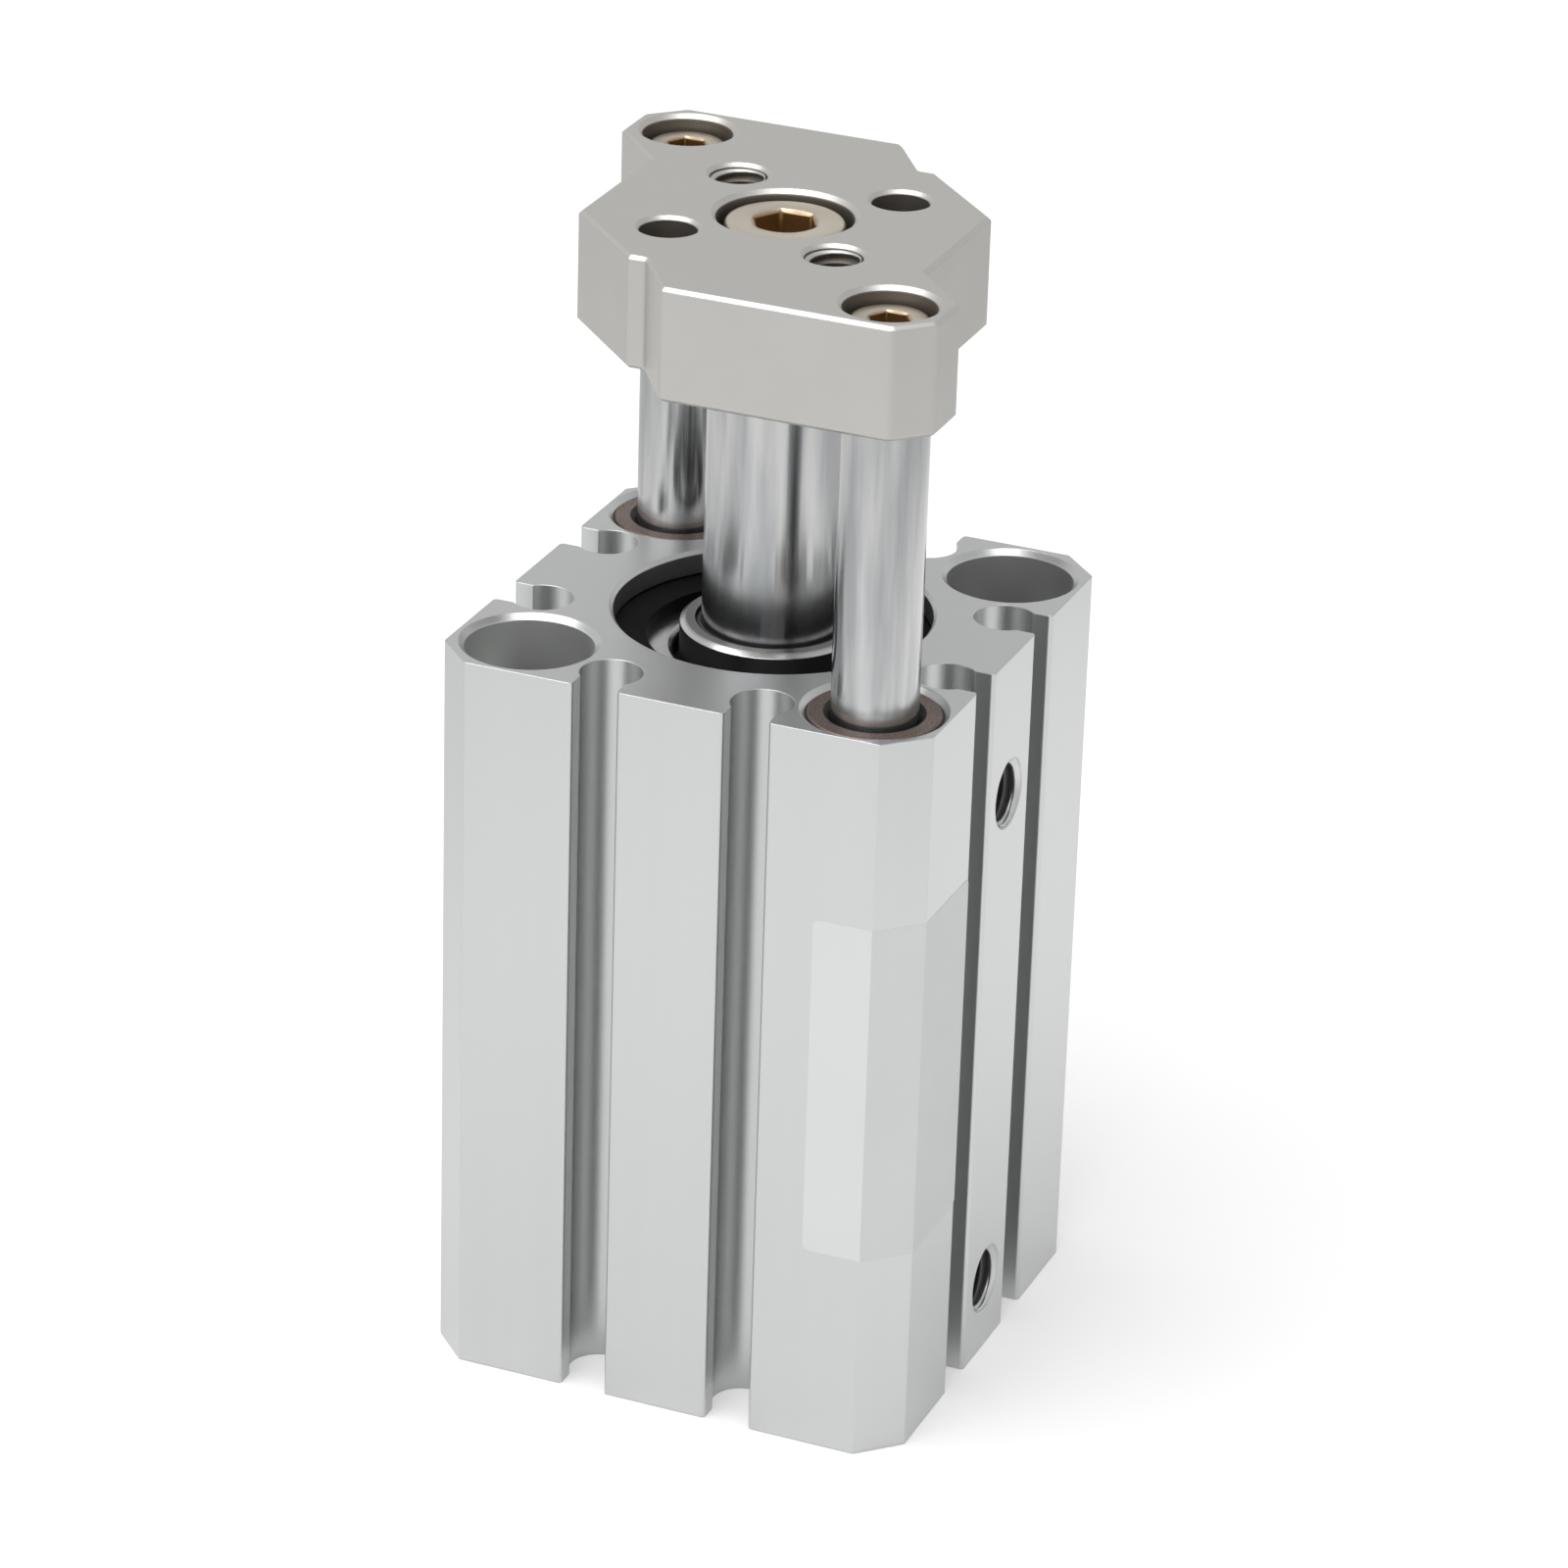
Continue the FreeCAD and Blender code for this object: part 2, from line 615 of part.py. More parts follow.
def make_front_plate():
    """Plate with two ears for the guide rods and cut corners over the mounting holes."""
    body = new_body("front_plate", z=PLATE_BASE)
    thickness = D["plate_thickness"]
    half = plate_half_outline()
    outline = new_sketch(body, "plate_outline", "XY_Plane")
    draw_outline(outline, half + [(-x, -y) for x, y in half])
    base = pad(body, outline, thickness)

    # Small radii at the root and crest of each step, and at both ends of each ear's cut.
    rounded = base
    radii = ("plate_root_radius", "plate_crest_radius", "plate_ear_radius", "plate_ear_radius")
    for corner, radius in zip(half[2:6], radii):
        rounded = dress_edges(body, "Fillet", rounded, is_upright_at(corner), D[radius])

    def is_rim(edge):
        box = edge.BoundBox
        flat = box.ZLength < 1e-4
        return flat and (abs(box.ZMin) < 1e-4 or abs(box.ZMin - thickness.value) < 1e-4)

    dress_edges(body, "Chamfer", rounded, is_rim, D["plate_edge_chamfer"])

    centre = new_sketch(body, "rod_screw_hole", "XY_Plane", thickness)
    draw_circle(centre, ZERO, ZERO, D["rod_screw_radius"])
    drill(body, centre, (D["rod_screw_radius"] + D["screw_clearance"]) * 2,
          D["rod_screw_pocket_radius"] * 2, D["rod_screw_pocket_depth"])
    guides = new_sketch(body, "guide_screw_holes", "XY_Plane", thickness)
    registers = new_sketch(body, "guide_rod_registers", "XY_Plane")
    taps = new_sketch(body, "tapped_holes", "XY_Plane", thickness)
    plains = new_sketch(body, "plain_holes", "XY_Plane", thickness)
    offset = D["face_hole_offset"]
    for side in (-1, 1):
        draw_circle(guides, HALF_PITCH * side, -HALF_PITCH * side, D["guide_screw_radius"])
        draw_circle(registers, HALF_PITCH * side, -HALF_PITCH * side,
                    D["guide_rod_radius"] + D["seated_gap"])
        draw_circle(taps, offset * side, -offset * side, D["face_tap_diameter"] / 2)
        draw_circle(plains, offset * side, offset * side, D["face_plain_diameter"] / 2)
    drill(body, guides, (D["guide_screw_radius"] + D["screw_clearance"]) * 2,
          D["guide_screw_pocket_radius"] * 2, D["guide_screw_pocket_depth"])
    pocket(body, registers, D["guide_rod_register"], towards_normal=True)
    drill(body, taps, D["face_tap_diameter"], sink=D["face_sink_diameter"])
    last = drill(body, plains, D["face_plain_diameter"], sink=D["face_sink_diameter"])
    pockets = (D["rod_screw_pocket_radius"], D["guide_screw_pocket_radius"])
    dress_edges(body, "Chamfer", last, is_circle_at(thickness, pockets), D["pocket_chamfer"])
    return body


def make_piston_rod():
    """Chromed rod: tapped at the plate, stepped and riveted through the piston."""
    body = new_body("piston_rod", z=PISTON_BASE)
    outer = D["rod_radius"]
    spigot = D["rod_spigot_radius"]
    shoulder = ROD_SHOULDER
    top = PLATE_BASE - PISTON_BASE
    edge = D["rod_end_chamfer"]
    tap = D["rod_screw_radius"] + D["seated_gap"]
    tap_floor = ROD_SCREW_SEAT - D["rod_screw_length"] - D["thread_end_gap"] - PISTON_BASE
    foot = D["bumper_height"]
    rivet = foot + D["rod_rivet_height"]
    revolve(body, "rod_section", [
        (ZERO, foot), (D["rod_rivet_radius"], foot), (spigot, rivet), (spigot, shoulder),
        (outer, shoulder), (outer, top - edge), (outer - edge, top), (tap, top),
        (tap, tap_floor), (ZERO, tap_floor - tap * D["drill_point_slope"])])
    return body


def make_guide_rod(name, place):
    """Guide rod seated in the plate, tapped for its screw, with a chamfered foot."""
    body = new_body(name, place[0], place[1], D["guide_rod_foot"])
    outer = D["guide_rod_radius"]
    top = PLATE_BASE + D["guide_rod_register"] - D["guide_rod_foot"]
    edge = D["rod_end_chamfer"]
    tap = D["guide_screw_radius"] + D["seated_gap"]
    reach = D["guide_screw_length"] + D["thread_end_gap"]
    tap_floor = GUIDE_SCREW_SEAT - reach - D["guide_rod_foot"]
    revolve(body, name + "_section", [
        (ZERO, ZERO), (outer - edge, ZERO), (outer, edge), (outer, top), (tap, top),
        (tap, tap_floor), (ZERO, tap_floor - tap * D["drill_point_slope"])])
    return body


def make_cap_screw(name, family, place, seat):
    """Socket head cap screw: turned head and shank with a hexagon socket."""
    head = D[family + "_head_radius"]
    height = D[family + "_head_height"]
    shank = D[family + "_radius"]
    length = D[family + "_length"]
    edge = D["screw_edge_chamfer"]
    body = new_body(name, place[0], place[1], seat)
    revolve(body, name + "_section", [
        (ZERO, -length), (shank - edge, -length), (shank, -length + edge), (shank, ZERO),
        (head, ZERO), (head, height - edge), (head - edge, height), (ZERO, height)])
    socket = new_sketch(body, name + "_socket", "XY_Plane", height)
    flat = D[family + "_key"] / 2
    corner = flat * Size(2 / 3 ** 0.5, "(2 / sqrt(3))")
    draw_outline(socket, [(corner, ZERO), (corner / 2, flat), (-corner / 2, flat),
                          (-corner, ZERO), (-corner / 2, -flat), (corner / 2, -flat)])
    pocket(body, socket, D[family + "_key_depth"])
    return body


def make_piston_head_side():
    """Head side half of the piston, with the magnet's hub and the wear ring groove."""
    body = new_body("piston_head_side", z=PISTON_BASE)
    bore = D["rod_spigot_radius"] + D["seated_gap"]
    rivet = D["rod_rivet_radius"] + D["seated_gap"]
    face = D["bumper_proud"]
    recess = D["bumper_height"]
    bumper = D["head_bumper_outer_radius"] + D["seated_gap"]
    rivet_top = recess + D["rod_rivet_height"]
    neck = D["piston_neck_radius"]
    outer = D["piston_radius"]
    groove = D["wear_ring_inner_radius"]
    top = D["piston_split"] - D["magnet_height"]
    revolve(body, "head_side_section", [
        (bore, rivet_top), (rivet, recess), (bumper, recess), (bumper, face), (neck, face),
        (neck, D["piston_neck_height"]),
        (outer, D["piston_neck_height"]), (outer, D["wear_ring_low"]),
        (groove, D["wear_ring_low"]), (groove, D["wear_ring_high"]),
        (outer, D["wear_ring_high"]), (outer, top), (D["magnet_inner_radius"], top),
        (D["magnet_inner_radius"], D["piston_split"]), (bore, D["piston_split"])])
    return body


def make_piston_rod_side():
    """Rod side half of the piston, with the seal groove and the bumper recess."""
    body = new_body("piston_rod_side", z=PISTON_BASE)
    bore = D["rod_spigot_radius"] + D["seated_gap"]
    ring = bore + D["rod_ring_section"] + D["seated_gap"]
    ring_floor = ROD_SHOULDER - D["rod_ring_section"] - D["seated_gap"] * 2
    outer = D["piston_radius"]
    groove = D["piston_seal_inner_radius"]
    bumper = D["rod_bumper_outer_radius"] + D["seated_gap"]
    revolve(body, "rod_side_section", [
        (bore, D["piston_split"]), (outer, D["piston_split"]), (outer, D["piston_seal_low"]),
        (groove, D["piston_seal_low"]), (groove, D["piston_seal_high"]),
        (outer, D["piston_seal_high"]), (outer, ROD_SHOULDER + D["bumper_proud"]),
        (bumper, ROD_SHOULDER + D["bumper_proud"]), (bumper, ROD_SHOULDER),
        (ring, ROD_SHOULDER), (ring, ring_floor), (bore, ring_floor)])
    return body


def make_rod_o_ring():
    """Static seal between the rod's spigot and the piston."""
    inner = D["rod_spigot_radius"] + D["seated_gap"]
    section = D["rod_ring_section"]
    height = PISTON_BASE + ROD_SHOULDER - section / 2 - D["seated_gap"]
    return make_o_ring("piston_rod_o_ring", inner, inner + section, height)


def make_magnet():
    """Ring magnet that the switches on the tube sense."""
    body = new_body("piston_magnet", z=PISTON_BASE + D["piston_split"] - D["magnet_height"])
    inner = D["magnet_inner_radius"] + D["seated_gap"]
    revolve(body, "magnet_section",
            rectangle(inner, ZERO, D["magnet_outer_radius"], D["magnet_height"]))
    return body


def make_piston_seal():
    """Piston seal with a lip towards each end of the bore."""
    body = new_body("piston_seal", z=PISTON_BASE + D["piston_seal_low"])
    inner = D["piston_seal_inner_radius"] + D["seated_gap"]
    lip = D["bore_radius"] - D["seal_gap"]
    waist = D["piston_radius"] - D["lip_relief"]
    width = D["piston_seal_high"] - D["piston_seal_low"]
    slope = width * D["seal_lip_share"]
    revolve(body, "piston_seal_section", [
        (inner, ZERO), (lip, ZERO), (waist, slope), (waist, width - slope), (lip, width),
        (inner, width)])
    return body


def make_wear_ring():
    """Split resin ring that carries the piston in the bore."""
    body = new_body("wear_ring", z=PISTON_BASE + D["wear_ring_low"])
    inner = D["wear_ring_inner_radius"] + D["seated_gap"]
    outer = D["bore_radius"] - D["running_gap"]
    width = D["wear_ring_high"] - D["wear_ring_low"]
    revolve(body, "wear_ring_section", rectangle(inner, ZERO, outer, width))
    split = new_sketch(body, "wear_ring_split", "XY_Plane")
    half = D["wear_ring_split"] / 2
    draw_outline(split, rectangle(-half, ZERO, half, D["body_width"] / 2))
    pocket(body, split, towards_normal=True)
    return body


def make_bumper(name, inner, outer, height):
    """Urethane ring that stops the piston softly."""
    body = new_body(name, z=height)
    revolve(body, name + "_section", rectangle(inner, ZERO, outer, D["bumper_height"]))
    return body


# ---------------------------------------------------------------- assembly

def build_pieces():
    """Build every piece of the cylinder, barrel first, and return them."""
    upper = D["body_height"] - D["bush_recess"]
    lower = D["body_height"] - D["bush_pocket_depth"] + D["bush_length"]
    pieces = [
        make_cylinder_tube(),
        make_rod_cover(),
        make_cover_o_ring(),
        make_rod_seal(),
        make_snap_ring(),
    ]
    for side, place in (("front", FRONT_GUIDE), ("rear", REAR_GUIDE)):
        pieces.append(make_guide_bush(f"{side}_upper_bush", place, upper))
        pieces.append(make_guide_bush(f"{side}_lower_bush", place, lower))
        pieces.append(make_guide_rod(f"{side}_guide_rod", place))
        pieces.append(make_cap_screw(f"{side}_guide_screw", "guide_screw", place, GUIDE_SCREW_SEAT))
    pieces += [
        make_front_plate(),
        make_piston_rod(),
        make_cap_screw("rod_screw", "rod_screw", (ZERO, ZERO), ROD_SCREW_SEAT),
        make_piston_head_side(),
        make_piston_rod_side(),
        make_rod_o_ring(),
        make_magnet(),
        make_piston_seal(),
        make_wear_ring(),
        make_bumper("head_side_bumper", D["head_bumper_inner_radius"],
                    D["head_bumper_outer_radius"], PISTON_BASE),
        make_bumper("rod_side_bumper", D["rod_bumper_inner_radius"],
                    D["rod_bumper_outer_radius"], PISTON_BASE + ROD_SHOULDER),
    ]
    return pieces


def check_document(pieces):
    """Stop if any object failed or a piece is not one sound solid."""
    doc.recompute()
    failed = [item.Name for item in doc.Objects if {"Invalid", "Error"} & set(item.State)]
    if failed:
        raise RuntimeError(f"objects in error: {failed}")
    for piece in pieces:
        shape = piece.Shape
        if shape.isNull() or not shape.isValid() or len(shape.Solids) != 1:
            raise RuntimeError(f"{piece.Label} is not one valid solid")


def export_pieces(pieces):
    """Write each piece to its own STEP file, named after its node."""
    os.makedirs("parts", exist_ok=True)
    for piece in pieces:
        piece.Shape.exportStep(f"parts/{piece.Label}.step")
        low, high = piece.Shape.BoundBox.ZMin, piece.Shape.BoundBox.ZMax
        print(f"{piece.Label:22s} volume {piece.Shape.Volume:10.2f}  z {low:7.2f} to {high:7.2f}")


all_pieces = build_pieces()
check_document(all_pieces)
export_pieces(all_pieces)
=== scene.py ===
"""Looks of a compact guided pneumatic cylinder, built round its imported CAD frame.

The frame gives every size and place: this script gives each piece its finish, puts real
cap screws in place of the plain ones, cuts threads into the ports and tapped holes, and
adds the bare label.  Lengths are metres, except fields that end in _mm.
"""

import json
import logging
import math
from dataclasses import dataclass, field
from enum import Enum
from functools import reduce

import bmesh
import bpy
from mathutils import Matrix, Vector


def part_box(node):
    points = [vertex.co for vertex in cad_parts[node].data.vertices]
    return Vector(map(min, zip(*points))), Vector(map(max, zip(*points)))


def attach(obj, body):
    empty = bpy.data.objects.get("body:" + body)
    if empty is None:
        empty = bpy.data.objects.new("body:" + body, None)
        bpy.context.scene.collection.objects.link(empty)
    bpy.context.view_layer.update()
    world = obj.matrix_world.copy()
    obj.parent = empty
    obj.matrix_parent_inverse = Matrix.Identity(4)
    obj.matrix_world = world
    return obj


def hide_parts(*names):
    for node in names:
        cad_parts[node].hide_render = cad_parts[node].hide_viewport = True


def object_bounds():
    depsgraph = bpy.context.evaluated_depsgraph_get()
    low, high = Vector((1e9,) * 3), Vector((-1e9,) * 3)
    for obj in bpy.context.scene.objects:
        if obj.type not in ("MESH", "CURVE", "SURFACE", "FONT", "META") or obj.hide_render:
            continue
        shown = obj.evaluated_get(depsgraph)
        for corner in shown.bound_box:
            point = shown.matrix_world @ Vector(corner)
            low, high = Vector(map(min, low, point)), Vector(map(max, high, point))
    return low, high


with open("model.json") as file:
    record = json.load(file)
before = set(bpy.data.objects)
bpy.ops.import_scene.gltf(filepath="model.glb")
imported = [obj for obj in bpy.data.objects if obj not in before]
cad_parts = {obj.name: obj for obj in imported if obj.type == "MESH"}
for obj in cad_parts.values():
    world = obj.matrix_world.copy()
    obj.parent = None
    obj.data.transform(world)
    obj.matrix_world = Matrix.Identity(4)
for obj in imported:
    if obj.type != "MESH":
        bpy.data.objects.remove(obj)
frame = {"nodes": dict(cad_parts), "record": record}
CAD_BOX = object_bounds()

MM = 0.001
WELD = 0.0001 * MM
CREASE = math.radians(35)
SOCKET_MARK = "socket_share"
WHITE = "#FFFFFF"
log = logging.getLogger("guided_cylinder")

# Kinds of node that several trees use.
MATH = "ShaderNodeMath"
VECTOR_MATH = "ShaderNodeVectorMath"
MAP_RANGE = "ShaderNodeMapRange"
MIX = "ShaderNodeMix"
SPLIT = "ShaderNodeSeparateXYZ"
JOIN = "ShaderNodeCombineXYZ"
PLACE = "ShaderNodeTexCoord"

Tree = bpy.types.NodeTree
Node = bpy.types.Node
Output = bpy.types.NodeSocket
Material = bpy.types.Material
Mesh = bpy.types.Mesh
Object = bpy.types.Object
Sizes = tuple[float, float, float]


class Body(Enum):
    """The two bodies that the pieces ride on."""

    BARREL = "barrel"
    PLUNGER = "plunger"


class Ridge(Enum):
    """Side of a cylinder that a thread stands on."""

    OUTWARD = 1
    INWARD = -1


# ---------------- shared helpers


def linear(colour: str) -> tuple[float, float, float, float]:
    """Turn an sRGB hex colour into linear light.

    Args:
        colour: the colour as "#RRGGBB".

    Returns:
        Linear red, green, blue and an alpha of one.
    """
    channels = [int(colour[start:start + 2], 16) / 255 for start in (1, 3, 5)]
    light = [c / 12.92 if c <= 0.04045 else ((c + 0.055) / 1.055) ** 2.4 for c in channels]
    return (*light, 1.0)


def add_node(tree: Tree, kind: str, inputs: dict | None = None, **settings) -> Node:
    """Add a node to a tree, with its settings, values and links.

    Args:
        tree: the node tree that gets the node.
        kind: Blender's name of the node type.
        inputs: by name or number, a value, an output to link, or a node whose first output
            is linked.
        settings: properties of the node.

    Returns:
        The new node.
    """
    node = tree.nodes.new(kind)
    for name, value in settings.items():
        setattr(node, name, value)
    for key, value in (inputs or {}).items():
        if isinstance(value, Node):
            value = value.outputs[0]
        if isinstance(value, Output):
            tree.links.new(value, node.inputs[key])
        else:
            node.inputs[key].default_value = value
    return node


def heading(azimuth: float, elevation: float) -> Vector:
    """Find the way from the cylinder towards a place around it.

    Args:
        azimuth: degrees from the front towards the right.
        elevation: degrees above the table.

    Returns:
        The way, one metre long.
    """
    turn, rise = math.radians(azimuth), math.radians(elevation)
    return Vector((math.sin(turn) * math.cos(rise), -math.cos(turn) * math.cos(rise),
                   math.sin(rise)))


def chain(name: str, points: list[tuple[float, float]]) -> Mesh:
    """Make the seed mesh of a turned piece: a line of points at (radius, 0, height).

    Args:
        name: the mesh's name.
        points: radius and height of each point.

    Returns:
        The mesh.
    """
    seed = bpy.data.meshes.new(name)
    seed.from_pydata([(radius, 0.0, height) for radius, height in points],
                     [(start, start + 1) for start in range(len(points) - 1)], [])
    return seed


def close_up(mesh: Mesh, *additions: Mesh) -> Mesh:
    """Turn a mesh's faces outwards, and join other meshes to it as they are.

    Args:
        mesh: the mesh to change.
        additions: meshes whose faces point outwards already.

    Returns:
        The same mesh.
    """
    work = bmesh.new()
    work.from_mesh(mesh)
    bmesh.ops.recalc_face_normals(work, faces=work.faces)
    for addition in additions:
        work.from_mesh(addition)
    work.to_mesh(mesh)
    work.free()
    return mesh


def add_object(name: str, data: bpy.types.ID) -> Object:
    """Put a mesh, camera or light into the scene as an object at the origin.

    Args:
        name: name of the object.
        data: the mesh, camera or light.

    Returns:
        The object.
    """
    thing = bpy.data.objects.new(name, data)
    bpy.context.scene.collection.objects.link(thing)
    return thing


def add_piece(name: str, mesh: Mesh) -> Object:
    """Put a finished mesh, with its place in it, into the scene and report it.

    Args:
        name: the piece's name.
        mesh: the mesh.

    Returns:
        The piece.
    """
    mesh.name = name
    log.info("%s: %d faces", name, len(mesh.polygons))
    return add_object(name, mesh)


def sharpen(mesh: Mesh) -> None:
    """Shade a mesh smooth between its creases.

    Args:
        mesh: the mesh to shade.
    """
    work = bmesh.new()
    work.from_mesh(mesh)
    for face in work.faces:
        face.smooth = True
    for edge in work.edges:
        edge.smooth = len(edge.link_faces) == 2 and edge.calc_face_angle() < CREASE
    work.to_mesh(mesh)
    work.free()


# ---------------- finishes


@dataclass(frozen=True)
class Surface:
    """One material's tree and the place on the piece, from which patterns are mixed."""

    tree: Tree
    point: Output

    def along(self, axis: int) -> Output:
        """Place along X, Y or Z, for an axis of 0, 1 or 2."""
        return add_node(self.tree, SPLIT, {0: self.point}).outputs[axis]

    def from_axis(self, offset_mm: float = 0.0) -> Output:
        """Distance from the upright axis, or from the nearest of four round it.

        Args:
            offset_mm: how far the four axes stand from the middle along X and along Y.

        Returns:
            The distance, in metres.
        """
        shift = (offset_mm * MM, offset_mm * MM, 0.0)
        folded = add_node(self.tree, VECTOR_MATH, {0: self.point}, operation="ABSOLUTE")
        moved = add_node(self.tree, VECTOR_MATH, {0: folded, 1: shift}, operation="SUBTRACT")
        level = add_node(self.tree, VECTOR_MATH, {0: moved, 1: (1.0, 1.0, 0.0)},
                         operation="MULTIPLY")
        return add_node(self.tree, VECTOR_MATH, {0: level}, operation="LENGTH").outputs[1]

    def grain(self, size_mm: Sizes, detail: float = 2.0) -> Output:
        """Noise whose spots have a real size along each axis.

        Args:
            size_mm: length of a spot along X, Y and Z.
            detail: number of finer layers.

        Returns:
            A value from zero to one.
        """
        spread = [1 / (size * MM) for size in size_mm]
        place = add_node(self.tree, "ShaderNodeMapping", {"Vector": self.point, "Scale": spread})
        return add_node(self.tree, "ShaderNodeTexNoise",
                        {"Vector": place, "Scale": 1.0, "Detail": detail}).outputs[0]

    def tool_marks(self, along: Output, spacing_mm: float, detail: float) -> Output:
        """Marks that follow each other along a length.

        Args:
            along: the length, in metres.
            spacing_mm: width of a mark.
            detail: number of finer layers.

        Returns:
            A value from zero to one.
        """
        return add_node(self.tree, "ShaderNodeTexNoise",
                        {"W": along, "Scale": 1 / (spacing_mm * MM), "Detail": detail},
                        noise_dimensions="1D").outputs[0]

    def within(self, *limits: tuple[Output, float, float]) -> Output:
        """One where every length lies between its limits, zero elsewhere.

        Args:
            limits: a length in metres, with its least and greatest value in millimetres.

        Returns:
            Zero or one.
        """
        shares = [add_node(self.tree, MATH,
                           {0: length, 1: (low_mm + high_mm) / 2 * MM,
                            2: (high_mm - low_mm) / 2 * MM}, operation="COMPARE")
                  for length, low_mm, high_mm in limits]
        return self.fold("MULTIPLY", *shares).outputs[0]

    def fold(self, operation: str, *shares: Node | Output) -> Node:
        """Work several shares into one, from the first to the last."""
        return reduce(lambda total, share: add_node(
            self.tree, MATH, {0: total, 1: share}, operation=operation), shares)


@dataclass(frozen=True)
class Finish:
    """A surface finish: its colours, how it scatters light, its small relief and its painted shade.
    """

    name: str
    slot: str
    colour: str
    second: str
    metallic: float = 1.0
    roughness: float = 0.4
    roughness_spread: float = 0.12
    relief_mm: float = 0.002
    round_mm: float = 0.1
    edge_samples: int = 6
    cloud_mm: float = 6.0
    grain_mm: float = 0.15
    shade_colour: str = "#0C0C0D"
    shade_roughness: float = 0.5
    shade_metallic: float = 0.0
    sheen_level: float = 0.5
    drawn_out: float = 0.0

    def build(self) -> Material:
        """Make the material.

        Returns:
            A material whose pattern comes from paint(), its relief from height(), and whose dark
            places are painted shade.
        """
        material = bpy.data.materials.new(self.name)
        material.use_nodes = True
        tree = material.node_tree
        shader = tree.nodes["Principled BSDF"]
        surface = Surface(tree, add_node(tree, PLACE).outputs["Object"])
        share = self.paint(surface)
        colour = add_node(tree, MIX,
                          {0: share, 6: linear(self.colour), 7: linear(self.second)},
                          data_type="RGBA").outputs[2]
        rough = add_node(tree, MAP_RANGE,
                         {0: share, 3: self.roughness * (1 - self.roughness_spread),
                          4: self.roughness * (1 + self.roughness_spread)}).outputs[0]
        shader.inputs["Metallic"].default_value = self.metallic
        shader.inputs["Specular IOR Level"].default_value = self.sheen_level
        # Painted shade: a darker colour, roughness and metal mixed in where the finish asks for it.
        dark = self.painted_shade(surface)
        if dark is not None:
            colour = add_node(tree, MIX,
                              {0: dark, 6: colour, 7: linear(self.shade_colour)},
                              data_type="RGBA").outputs[2]
            rough = add_node(tree, MIX, {0: dark, 2: rough, 3: self.shade_roughness},
                             data_type="FLOAT").outputs[0]
            metal = add_node(tree, MAP_RANGE, {0: dark, 3: self.metallic, 4: self.shade_metallic})
            tree.links.new(metal.outputs[0], shader.inputs["Metallic"])
        if self.drawn_out:
            upright = add_node(tree, JOIN, {2: 1.0})
            tree.links.new(upright.outputs[0], shader.inputs["Tangent"])
            shader.inputs["Anisotropic"].default_value = self.drawn_out
        edge = add_node(tree, "ShaderNodeBevel", {"Radius": self.round_mm * MM},
                        samples=self.edge_samples)
        bump = add_node(tree, "ShaderNodeBump", {"Height": self.height(surface), "Normal": edge,
                                                 "Distance": self.relief_mm * MM})
        tree.links.new(colour, shader.inputs["Base Color"])
        tree.links.new(rough, shader.inputs["Roughness"])
        tree.links.new(bump.outputs[0], shader.inputs["Normal"])
        return material

    def paint(self, surface: Surface) -> Output:
        """Share of the second colour over the surface: soft clouds by default."""
        return surface.grain((self.cloud_mm,) * 3)

    def height(self, surface: Surface) -> Output:
        """Relief of the surface: a fine even grain by default."""
        return surface.grain((self.grain_mm,) * 3)

    def painted_shade(self, surface: Surface) -> Output | None:
        """Share of painted shade over the surface: none by default."""
        return None


@dataclass(frozen=True)
class ExtrudedAnodised(Finish):
    """Satin anodised extrusion: long die lines outside, painted light on the bored holes' walls,
    painted shade in the ports.
    """

    streak_mm: Sizes = (1.6, 1.6, 55.0)
    streak_share: float = 0.2
    die_line_mm: Sizes = (0.25, 0.25, 40.0)
    etch_mm: float = 0.12
    hole_offset_mm: float = 12.75
    hole_from_mm: float = 4.4
    hole_to_mm: float = 4.55
    port_half_mm: float = 2.6
    port_from_mm: float = 12.5
    port_to_mm: float = 17.35
    port_low_mm: float = 2.9
    port_high_mm: float = 46.6

    def paint(self, surface: Surface) -> Output:
        """Faint streaks along the extrusion, and painted light on the walls of the screw head holes.

        Args:
            surface: the surface to paint.

        Returns:
            Share of the second colour.
        """
        streaks = add_node(surface.tree, MAP_RANGE,
                           {0: surface.grain(self.streak_mm), 4: self.streak_share})
        # The walls of the screw head holes take the brighter second colour: painted light.
        walls = surface.within(
            (surface.from_axis(self.hole_offset_mm), self.hole_from_mm, self.hole_to_mm))
        return surface.fold("MAXIMUM", streaks, walls).outputs[0]

    def height(self, surface: Surface) -> Output:
        """Die lines on the sides and an etched grain everywhere, half of each.

        Args:
            surface: the surface to shape.

        Returns:
            Height of the relief.
        """
        etch = surface.grain((self.etch_mm,) * 3)
        return add_node(surface.tree, MIX,
                        {0: 0.5, 2: surface.grain(self.die_line_mm), 3: etch},
                        data_type="FLOAT").outputs[0]

    def painted_shade(self, surface: Surface) -> Output:
        """Painted shade on the walls and threads of the ports, past their first turn.

        Args:
            surface: the surface to shade.

        Returns:
            Share of the painted shade.
        """
        return surface.within((surface.along(0), self.port_from_mm, self.port_to_mm),
                              (surface.along(1), -self.port_half_mm, self.port_half_mm),
                              (surface.along(2), self.port_low_mm, self.port_high_mm))


